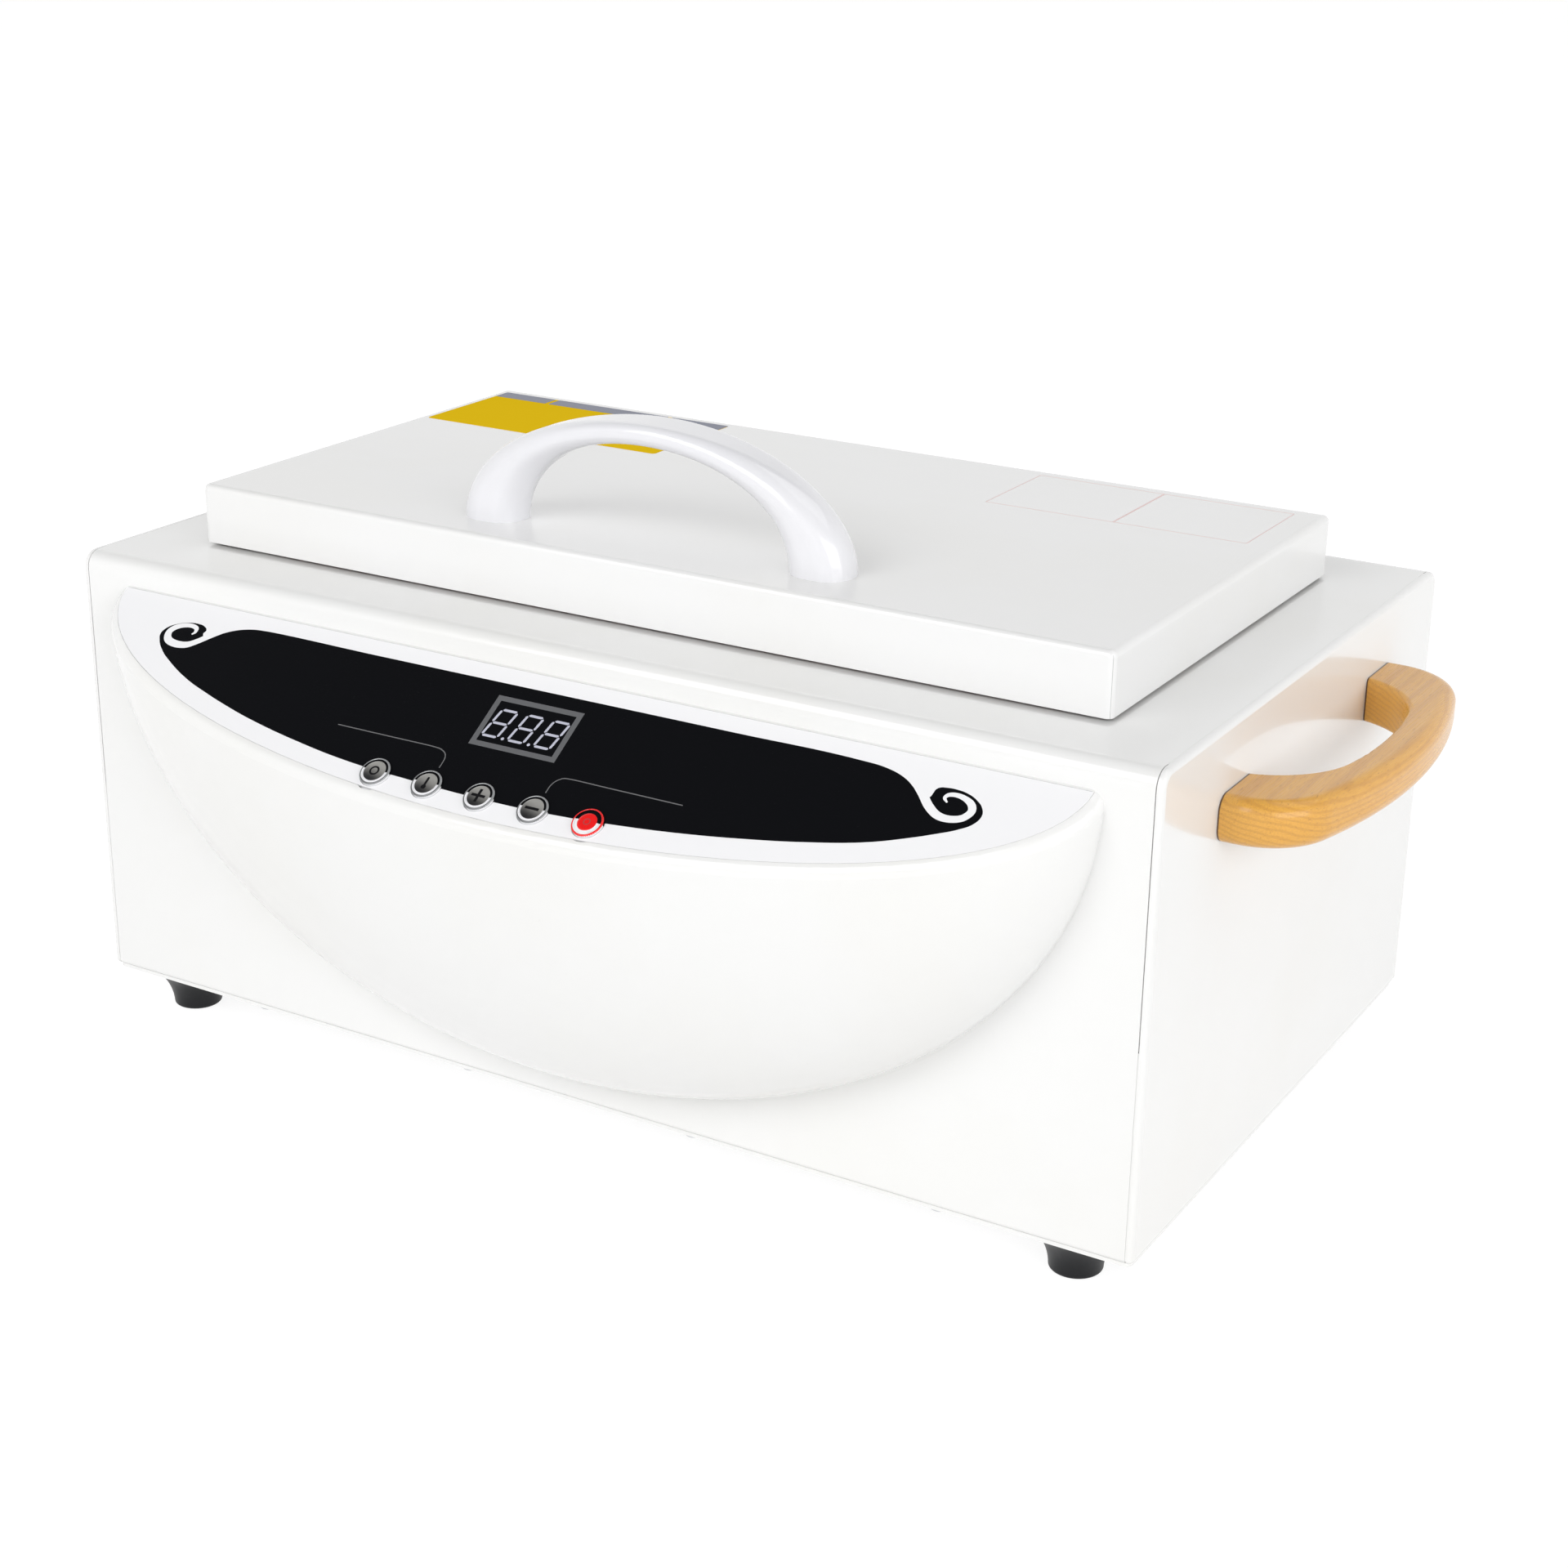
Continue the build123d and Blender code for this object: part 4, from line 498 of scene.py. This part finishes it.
def flat_piece(name, loops, low, high, material, body, slot, where, smooth=True):
    """A slab between two heights whose outline follows loops of points, in millimetres."""
    curve = bpy.data.curves.new(name, "CURVE")
    curve.dimensions = "2D"
    curve.fill_mode = "BOTH"
    curve.extrude = (high - low) / 2
    curve.resolution_u = CURVE_STEPS
    for loop in loops:
        spline = curve.splines.new("BEZIER" if smooth else "POLY")
        points = spline.bezier_points if smooth else spline.points
        points.add(len(loop) - 1)
        for point, (x, y) in zip(points, loop):
            if smooth:
                point.co = (x, y, 0)
                point.handle_left_type = point.handle_right_type = "AUTO"
            else:
                point.co = (x, y, 0, 1)
        spline.use_cyclic_u = True
    maker = bpy.data.objects.new(name, curve)
    bpy.context.scene.collection.objects.link(maker)
    bpy.context.view_layer.update()
    solved = maker.evaluated_get(bpy.context.evaluated_depsgraph_get())
    mesh = bpy.data.meshes.new_from_object(solved)
    bpy.data.objects.remove(maker)
    mesh.transform(Matrix.Translation((0, 0, (low + high) / 2)))
    return settle(name, mesh, material, body, where)


def settle(name, mesh, material, body, where):
    """Welds a mesh in millimetres, puts it where it belongs and lets it ride on its body."""
    shape = bmesh.new()
    shape.from_mesh(mesh)
    bmesh.ops.remove_doubles(shape, verts=shape.verts, dist=WELD)
    bmesh.ops.recalc_face_normals(shape, faces=shape.faces)
    shape.to_mesh(mesh)
    shape.free()
    dress(mesh, material)
    mesh.transform(Matrix.Scale(MM, 4))
    piece = bpy.data.objects.new(name, mesh)
    bpy.context.scene.collection.objects.link(piece)
    piece.matrix_world = where @ Matrix.Scale(1 / MM, 4)
    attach(piece, body)
    return piece


def ring_loop(radius, center=(0, 0), count=24):
    """Points round a circle."""
    turns = [2 * math.pi * i / count for i in range(count)]
    return [(center[0] + radius * math.cos(t), center[1] + radius * math.sin(t)) for t in turns]


print("flat pieces can be cut")

# %% [markdown]
# ## Ribbons of even or tapering width
# Scroll bands, leader lines and ruled lines all follow a line with a width. Catmull-Rom points between
# the given ones make the line smooth, and its two sides are offset along the normals.

# %% Make a ribbon's outline
def smooth_line(points, steps=8):
    """More points on a smooth line through the given ones; each point may carry a width."""
    padded = [points[0], *points, points[-1]]
    line = []
    for a, b, c, d in zip(padded, padded[1:], padded[2:], padded[3:]):
        for i in range(steps):
            t = i / steps
            line.append(tuple(
                0.5 * (2 * q + (r - p) * t + (2 * p - 5 * q + 4 * r - s) * t * t
                       + (3 * q - p - 3 * r + s) * t ** 3)
                for p, q, r, s in zip(a, b, c, d)
            ))
    return line + [points[-1]]


def ribbon_loop(line):
    """The outline of a line of (x, y, width) points."""
    left, right = [], []
    for before, (x, y, width), after in zip([line[0]] + line, line, line[1:] + [line[-1]]):
        along = Vector((after[0] - before[0], after[1] - before[1])).normalized()
        side = Vector((-along.y, along.x)) * width / 2
        left.append((x + side.x, y + side.y))
        right.append((x - side.x, y - side.y))
    return left + right[::-1]


print("ribbons can be cut")

# %% [markdown]
# ## The black field with its two scrolls
# The field is a boat shape whose ends curl into small scrolls, an old printer's ornament. It could be
# cut as one outline with the curls left out, but a curl is easier to draw as a white band laid over
# black, and the film is that same white. So the black field comes first and two bands go over it.

# %% Black field
INK = 0.02                     # thickness of one printed layer
PRINT_TOP = -6.0
field = [
    (-105, PRINT_TOP), (-60, PRINT_TOP), (0, PRINT_TOP), (60, PRINT_TOP), (98, -6.1), (106, -6.8),
    (112, -8.7), (116, -11.3), (118.6, -13.2), (120.9, -12.7), (121.3, -11.2), (121.5, -10.0),
    (122.3, -9.2), (124.0, -8.8), (127, -8.7), (130.2, -9.2), (133.4, -10.6), (135.9, -12.8),
    (136.7, -15.0), (135.7, -17.8), (132.6, -20.4), (127, -23.4), (121.5, -26), (111, -30.2),
    (95, -34.4), (80, -37.4), (62, -40.3), (42, -42.6), (22, -44.1), (2, -44.6), (-28, -43.9),
    (-48, -42.8), (-68, -40.3), (-88, -36.7), (-98, -34.3), (-108, -31.5), (-118, -28.2),
    (-128, -23.5), (-133.3, -20.2), (-136.6, -17), (-137.9, -14.4), (-137.2, -12.2),
    (-134.6, -10.1), (-131, -8.8), (-127.5, -8.4), (-124.6, -8.9), (-123.1, -10.1),
    (-123.3, -11.6), (-121.6, -12.7), (-119.8, -12.3), (-116.8, -10.0), (-113.3, -8.0),
    (-109, -6.6),
]
flat_piece("control_field", [field], 0.0, INK, print_black, "casing", "overlay_film", panel)
print("black field", len(field), "points")

# %% Scroll bands
left_band = [
    (-117.2, -8.2, 3.2), (-120.6, -11.7, 2.5), (-123.3, -14.5, 2.2), (-126.3, -16.6, 2.4),
    (-130.2, -17.1, 2.5), (-133.7, -16.2, 2.4), (-135.3, -13.9, 2.3), (-134.7, -11.8, 2.2),
    (-132.3, -10.2, 1.8), (-129.3, -9.6, 1.5), (-127.0, -10.1, 1.4), (-126.4, -11.5, 1.1),
    (-127.1, -12.6, 0.5),
]
right_band = [
    (115.4, -8.7, 3.2), (118.7, -12.2, 2.5), (121.8, -15.4, 2.4), (125.2, -17.6, 2.3),
    (128.7, -18.0, 2.2), (132.0, -16.9, 2.2), (133.5, -14.4, 2.2), (132.5, -12.2, 2.0),
    (130.2, -10.9, 1.6), (127.7, -10.4, 1.4), (125.6, -10.8, 1.3), (124.9, -12.0, 1.0),
    (126.1, -13.2, 0.4),
]
on_print = ("casing", "overlay_film", panel)
for name, band in (("scroll_left", left_band), ("scroll_right", right_band)):
    loop = ribbon_loop(smooth_line(band))
    flat_piece(name, [loop], INK, 1.5 * INK, overlay_white, *on_print, smooth=False)
print("scroll bands", len(left_band), "and", len(right_band), "points")

# %% Leader lines
LEADER_WIDTH = 0.32
leaders = {
    "leader_left": [
        (-58.8, -31.7), (-40, -31.7), (-25.5, -31.7), (-21.6, -32.3), (-19.6, -34.2), (-19.3, -38),
    ],
    "leader_right": [
        (16.3, -38), (16.5, -35), (18.0, -32.8), (21, -32.0), (34, -32.0), (56.7, -32.0),
    ],
}
for name, line in leaders.items():
    loop = ribbon_loop(smooth_line([(x, y, LEADER_WIDTH) for x, y in line]))
    flat_piece(name, [loop], INK, 1.5 * INK, print_grey, *on_print, smooth=False)
print("leader lines", len(leaders))

# %% [markdown]
# ## The three digit display
# Each digit has seven bars and a point, slanted ten degrees. Unlit, they show as pale bars behind the
# smoked window. The bars are cut as pointed hexagons with a small gap between neighbours, which is
# what makes a segment display look like one.

# %% Display surround and digits
window_low, window_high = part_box("display_window")
window_middle = panel.inverted() @ ((window_low + window_high) / 2)
WINDOW_HALF = (14.4, 8.9)
BAND = 1.7
corners = ((1, 1), (-1, 1), (-1, -1), (1, -1))


def frame_loop(half_width, half_height, center):
    return [(center.x + sx * half_width, center.y + sy * half_height) for sx, sy in corners]


surround = [
    frame_loop(WINDOW_HALF[0], WINDOW_HALF[1], window_middle),
    frame_loop(WINDOW_HALF[0] - BAND, WINDOW_HALF[1] - BAND, window_middle),
]
behind_window = ("casing", "dark_window", panel)
flat_piece("display_surround", surround, 0.0, 1.5 * INK, surround_grey, *behind_window, smooth=False)

DIGIT_HEIGHT, DIGIT_WIDTH, DIGIT_PITCH, DIGIT_DROP = 10.2, 6.0, 8.75, 0.35
BAR, BAR_GAP, SLANT = 0.8, 0.22, math.tan(math.radians(10))
POINT_RADIUS, POINT_OFFSET = 0.5, 3.7
half_h, half_w = DIGIT_HEIGHT / 2 - BAR / 2, DIGIT_WIDTH / 2 - BAR / 2
joints_of_digit = [(x, y) for y in (half_h, 0, -half_h) for x in (-half_w, half_w)]
bars_of_digit = ((0, 1), (2, 3), (4, 5), (0, 2), (1, 3), (2, 4), (3, 5))


def bar_loop(start, end, origin):
    """A pointed bar from one corner of the digit to the next."""
    start, end = Vector(start), Vector(end)
    along = (end - start).normalized()
    side = Vector((-along.y, along.x)) * BAR / 2
    tip = BAR / 2 + BAR_GAP
    a, b = start + along * BAR_GAP, end - along * BAR_GAP
    outline = [a, start + along * tip + side, end - along * tip + side, b, end - along * tip - side,
               start + along * tip - side]
    return [(origin[0] + p.x + p.y * SLANT, origin[1] + p.y) for p in outline]


digit_row = window_middle.y - DIGIT_DROP
digit_places = [(window_middle.x + dx, digit_row) for dx in (-DIGIT_PITCH, 0.0, DIGIT_PITCH)]
loops = []
for place in digit_places:
    for start, end in bars_of_digit:
        loops.append(bar_loop(joints_of_digit[start], joints_of_digit[end], place))
for x, y in digit_places[:2]:
    loops.append(ring_loop(POINT_RADIUS, (x + POINT_OFFSET, y - half_h), 12))
flat_piece("display_digits", loops, 0.0, 1.5 * INK, segment_pale, *behind_window, smooth=False)
print("digit bars and points", len(loops))

# %% [markdown]
# ## Key tops
# Each key is a dark cap with a bright ring and a domed metal disc that carries a plain icon. The disc
# is turned: a profile spun about the key's axis, so its rim is rounded and its middle slightly
# high. The grey of the ring and the disc runs from pale at the top to dark below: a painted
# reflection, like polished metal under one lamp, put into the colour.

# %% Turned pieces
def turned_piece(name, profile, material, body, where, count=48):
    """Spins a profile of (radius, height) points, in millimetres, about the local z axis."""
    shape = bmesh.new()
    verts = [shape.verts.new((radius, 0, height)) for radius, height in profile]
    edges = [shape.edges.new(pair) for pair in zip(verts, verts[1:])]
    around = {"axis": (0, 0, 1), "cent": (0, 0, 0), "angle": 2 * math.pi, "steps": count}
    bmesh.ops.spin(shape, geom=verts + edges, **around)
    mesh = bpy.data.meshes.new(name)
    shape.to_mesh(mesh)
    shape.free()
    mesh.polygons.foreach_set("use_smooth", [True] * len(mesh.polygons))
    return settle(name, mesh, material, body, where)


print("profiles can be turned")

# %% Key metals and film
KEY_NAMES = ["menu_key", "temperature_key", "plus_key", "minus_key", "reset_key"]
FIELD_EDGE = 44.0              # how far down the slope the black field ends at the keys


def disc_metal_painted_reflection(name, pale, dark, half):
    """Metal with a painted reflection, pale at its upper rim and dark at its lower one."""
    metal = Finish(name, pale, 0.28, Metallic=0.55)
    x, y, _ = metal.axes(metal.place())
    # Painted reflection: the colour falls from pale above to dark below, as polished metal under one
    # lamp would look.
    painted_reflection_lean = y + x * 0.25 + metal.noise(metal.place(), 1.2, 2) * 0.6
    fall = metal.step(painted_reflection_lean, -half * 0.8, half * 0.9)
    metal.feed("Base Color", metal.blend(fall, dark, pale))
    metal.bump(metal.noise(metal.place((6, 0.6, 6)), 1.0, 3), 0.002)
    return metal.material


def key_film():
    """The film over a key: black above the field's edge, white below it."""
    black, white = (0.0045, 0.0048, 0.006), (0.9, 0.9, 0.92)
    sheet = Finish("key_film", white, 0.14, Specular_IOR_Level=0.2)
    here = sheet.place()
    start, slope = tuple(panel_origin / MM), tuple(-panel_up)
    offset = sheet.node("ShaderNodeVectorMath", {"operation": "SUBTRACT"}, {0: here, 1: start})
    along_slope = {0: offset, 1: slope}
    down = sheet.node("ShaderNodeVectorMath", {"operation": "DOT_PRODUCT"}, along_slope, out=1)
    below = sheet.step(down + sheet.noise(here, 2, 1) * 0.1, FIELD_EDGE - 0.1, FIELD_EDGE + 0.1)
    sheet.feed("Base Color", sheet.blend(below, black, white))
    return sheet.material


key_cover = key_film()
for name in KEY_NAMES:
    dress(frame["nodes"][name].data, key_cover)
disc_silver_painted_reflection = disc_metal_painted_reflection("disc_silver_painted_reflection", (0.6, 0.59, 0.56), (0.035, 0.035, 0.037), 3.45)
ring_silver_painted_reflection = disc_metal_painted_reflection("ring_silver_painted_reflection", (0.42, 0.43, 0.44), (0.2, 0.205, 0.21), 4.6)
mark_red = film("mark_red", (0.5, 0.05, 0.05), 0.25)
print("key metals ready")

# %% Rings and discs
def key_frame(name):
    """Local axes on top of a key's cap, in millimetres."""
    verts = [panel.inverted() @ v.co for v in frame["nodes"][name].data.vertices]
    top = max(v.z for v in verts)
    cap = [v for v in verts if v.z > top - 0.6]
    middle = [(max(v[axis] for v in cap) + min(v[axis] for v in cap)) / 2 for axis in (0, 1)]
    return panel @ Matrix.Translation((*middle, top))


ring_profile = [(4.08, 0.0), (4.15, 0.06), (4.35, 0.05), (4.55, -0.12), (4.62, -0.35)]
disc_profile = [(0.0, 0.16), (1.4, 0.15), (2.5, 0.11), (3.2, 0.05), (3.45, -0.02)]
button_profile = [(0.0, 0.16), (1.2, 0.15), (2.2, 0.12), (2.75, 0.06), (2.85, 0.0)]
key_tops = {name: key_frame(name) for name in KEY_NAMES}
for name, top in key_tops.items():
    stem = name.replace("_key", "")
    if name == "reset_key":
        slot, ring, disc, profile = "red_key", key_red, key_red, button_profile
    else:
        slot, ring, disc, profile = "silver_key", ring_silver_painted_reflection, disc_silver_painted_reflection, disc_profile
    turned_piece(stem + "_ring", ring_profile, ring, name, top)
    turned_piece(stem + "_disc", profile, disc, name, top)
print("key tops", len(key_tops))

# %% Icons on the key tops
ICON_LOW, ICON_HIGH = 0.1, 0.19
plus_arm, plus_half = 2.2, 0.42
cross = [
    (plus_half, plus_half), (plus_half, plus_arm), (-plus_half, plus_arm),
    (-plus_half, plus_half), (-plus_arm, plus_half), (-plus_arm, -plus_half),
    (-plus_half, -plus_half), (-plus_half, -plus_arm), (plus_half, -plus_arm),
    (plus_half, -plus_half), (plus_arm, -plus_half), (plus_arm, plus_half),
]
bar = [
    (-plus_arm, -plus_half), (plus_arm, -plus_half), (plus_arm, plus_half), (-plus_arm, plus_half),
]
bulb_turns = [math.radians(118 + 304 * i / 20) for i in range(21)]
bulb = [(0.75 * math.cos(t), -1.35 + 0.75 * math.sin(t)) for t in bulb_turns]
thermometer = bulb + [(0.36, 1.7), (0.22, 2.0), (-0.22, 2.0), (-0.36, 1.7)]
icons = {
    "menu_key": [ring_loop(1.55), ring_loop(1.0)],
    "temperature_key": [thermometer],
    "plus_key": [cross],
    "minus_key": [bar],
    "reset_key": [ring_loop(1.1), ring_loop(0.75)],
}
for name, loops in icons.items():
    stem = name.replace("_key", "")
    ink, slot = (mark_red, "red_key") if name == "reset_key" else (icon_dark, "silver_key")
    on_key = (ink, name, slot, key_tops[name])
    flat_piece(stem + "_icon", loops, ICON_LOW, ICON_HIGH, *on_key, smooth=False)
print("icons", len(icons))

# %% [markdown]
# ## Labels on the lid
# Two stickers lie along the lid's back edge: a yellow one with a dark strip, and a clear one ruled
# in pale red. Both stay blank. A sticker could be an image on the lid's own surface, but a thin slab
# with rounded corners has a real edge that catches the light.

# %% Stickers
STICKER = 0.08


def rounded_loop(x0, y0, x1, y1, radius, count=5):
    """A rectangle with rounded corners."""
    loop = []
    for cx, cy, start in ((x1 - radius, y1 - radius, 0), (x0 + radius, y1 - radius, 90),
                          (x0 + radius, y0 + radius, 180), (x1 - radius, y0 + radius, 270)):
        for i in range(count):
            angle = math.radians(start + 90 * i / (count - 1))
            loop.append((cx + radius * math.cos(angle), cy + radius * math.sin(angle)))
    return loop


lid_back = lid_high.y / MM
on_lid = ("lid", "white_paint", lid_top)
yellow_left, yellow_right, yellow_front, yellow_back = -150, -58, lid_back - 50.5, lid_back - 4.5
yellow = rounded_loop(yellow_left, yellow_front, yellow_right, yellow_back, 1.2)
flat_piece("sticker_yellow", [yellow], 0.0, STICKER, label_yellow, *on_lid, smooth=False)
strip_front = lid_back - 11.5
block_ends = ((yellow_left, -129), (-127.5, -82), (-80.5, yellow_right))
blocks = [rounded_loop(x0, strip_front, x1, yellow_back, 0.4) for x0, x1 in block_ends]
flat_piece("sticker_strip", blocks, STICKER, STICKER + INK, label_navy, *on_lid, smooth=False)
RULE, RULED_MIDDLE = 0.3, 101.5
x0, x1, y0, y1 = 59.0, 144.0, lid_back - 44.5, lid_back - 5.5
ruling = [rounded_loop(x0, y0, x1, y1, 0.3)]
for left, right in ((x0, RULED_MIDDLE), (RULED_MIDDLE, x1)):
    ruling.append(rounded_loop(left + RULE, y0 + RULE, right - RULE, y1 - RULE, 0.15))
flat_piece("sticker_ruling", ruling, 0.0, INK, ruling_red, *on_lid, smooth=False)
print("stickers done, lid's back edge at", round(lid_back, 1), "mm")

# %% [markdown]
# ## Paint in the seams
# The casing's sheets meet in an open seam, and the enamel has run into it. On top it nearly fills the
# seam. On the lower front it lies deeper and turns the dark line grey. The seams could be left
# empty, but then they would be black all round, so each gets a strip of enamel where it ran.

# %% Seam paint
casing_low, casing_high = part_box("casing_wrap")
casing_top = Matrix.Translation(Vector((0, 0, casing_high.z))) @ Matrix.Scale(MM, 4)
upright = Matrix.Rotation(math.pi / 2, 4, "X")
casing_face = Matrix.Translation(Vector((0, casing_front, 0))) @ upright @ Matrix.Scale(MM, 4)
SEAM, OVERLAP, RUN_IN = 0.3, 0.03, 7.0
DRIP_START, DRIP_END = 1, 62   # how far above the front's lower edge the paint runs
TOP_DEPTH, FRONT_DEPTH, BURIED = -0.05, -0.19, -0.5
edge = casing_low.z / MM
seam_runs = {
    "top": (casing_top, casing_low.y / MM + RUN_IN, casing_high.y / MM - RUN_IN, TOP_DEPTH),
    "front": (casing_face, edge + DRIP_START, edge + DRIP_END, FRONT_DEPTH),
}
for face, (where, start, end, depth) in seam_runs.items():
    for side, x0 in (("left", casing_low.x / MM - SEAM), ("right", casing_high.x / MM)):
        x0, x1 = x0 - OVERLAP, x0 + SEAM + OVERLAP
        strip = [(x0, start), (x1, start), (x1, end), (x0, end)]
        paint = (casing_enamel, "casing", "white_paint", where)
        flat_piece(f"seam_paint_{face}_{side}", [strip], BURIED, depth, *paint, smooth=False)
print("seams filled on", ", ".join(seam_runs))

# %% [markdown]
# ## Floor and light
# A studio table: a wide pale floor that curves up nowhere, since the view looks down on it. Its
# material gives the camera a white surface and keeps the soft shadow. The light is a broad front
# panel, one beside it, a small one above and a room with white walls, so that enamel reads white
# without clipping. Metal and glass see those white walls too. Only the ceiling is dim, or the
# sloping black panel would mirror it and turn grey.

# %% Floor
FLOOR_GLOW, GLOW_SHARE = 1.22, 0.72
FLOOR_HALF, FLOOR_DROP = 12.0, 0.0002


def floor_material():
    surface = Finish("studio_floor", (0.86, 0.86, 0.86), 0.75)
    cloud = surface.noise(surface.place(), 60, 3)
    surface.feed("Base Color", surface.blend(cloud, (0.85, 0.85, 0.85), (0.87, 0.87, 0.87)))
    glow = surface.node("ShaderNodeEmission", None, {"Strength": FLOOR_GLOW})
    seen = surface.ray("Camera") + surface.ray("Glossy") + surface.ray("Transmission")
    lit = Wire(surface, surface.shader.outputs[0])
    share = (seen * GLOW_SHARE).clamp()
    both = surface.node("ShaderNodeMixShader", None, {0: share, 1: lit, 2: glow})
    surface.plug(surface.output.inputs[0], both)
    return surface.material


floor_mesh = bpy.data.meshes.new("studio_floor")
quarters = ((-1, -1), (1, -1), (1, 1), (-1, 1))
floor_corners = [(x * FLOOR_HALF, y * FLOOR_HALF, 0) for x, y in quarters]
floor_mesh.from_pydata(floor_corners, [], [(0, 1, 2, 3)])
dress(floor_mesh, floor_material())
floor = bpy.data.objects.new("studio_floor", floor_mesh)
floor.location.z = -FLOOR_DROP
bpy.context.scene.collection.objects.link(floor)
print("floor laid")

# %% Lamps
def panel_lamp(name, place, aim, width, height, power):
    lamp = bpy.data.lights.new(name, "AREA")
    lamp.shape = "RECTANGLE"
    lamp.size, lamp.size_y = width, height
    lamp.energy = power
    holder = bpy.data.objects.new(name, lamp)
    holder.location = place
    holder.rotation_euler = (Vector(aim) - Vector(place)).to_track_quat("-Z", "Y").to_euler()
    bpy.context.scene.collection.objects.link(holder)


panel_lamp("corner_panel", (2.25, -1.1, 0.85), (0, 0, 0.08), 2.0, 1.4, 19.5)
panel_lamp("front_panel", (-0.6, -1.95, 1.65), (0, 0, 0.08), 1.8, 1.2, 23)
panel_lamp("top_panel", (0.9, 0.7, 2.2), (0, 0, 0.1), 1.8, 1.4, 7)

# %% Room and backdrop
WALLS, CEILING = 1.0, 0.12
WALL_TOP, CEILING_EDGE = 0.42, 0.8     # height of a direction: 0 at the horizon, 1 straight up
WHITE = (1, 1, 1, 1)


class Sky(Finish):
    """The world's own nodes, made with the same methods."""

    def __init__(self, name):
        self.world = bpy.data.worlds.new(name)
        self.world.use_nodes = True
        self.tree = self.world.node_tree
        self.tree.nodes.clear()


sky = Sky("studio_sky")
height = sky.axes(sky.node("ShaderNodeTexCoord", out="Generated"))[2]
fall = {0: height, 1: WALL_TOP, 2: CEILING_EDGE, 3: WALLS, 4: CEILING}
brightness = sky.node("ShaderNodeMapRange", {"interpolation_type": "SMOOTHSTEP"}, fall)
room = sky.node("ShaderNodeBackground", None, {"Color": WHITE, "Strength": brightness})
backdrop = sky.node("ShaderNodeBackground", None, {"Color": WHITE, "Strength": 1.0})
seen = (sky.ray("Camera") + sky.ray("Transmission")).clamp()
both = sky.node("ShaderNodeMixShader", None, {0: seen, 1: room, 2: backdrop})
sky.node("ShaderNodeOutputWorld", None, {0: both})
bpy.context.scene.world = sky.world
print("walls", WALLS, "ceiling", CEILING)

# %% Final update
bpy.context.view_layer.update()
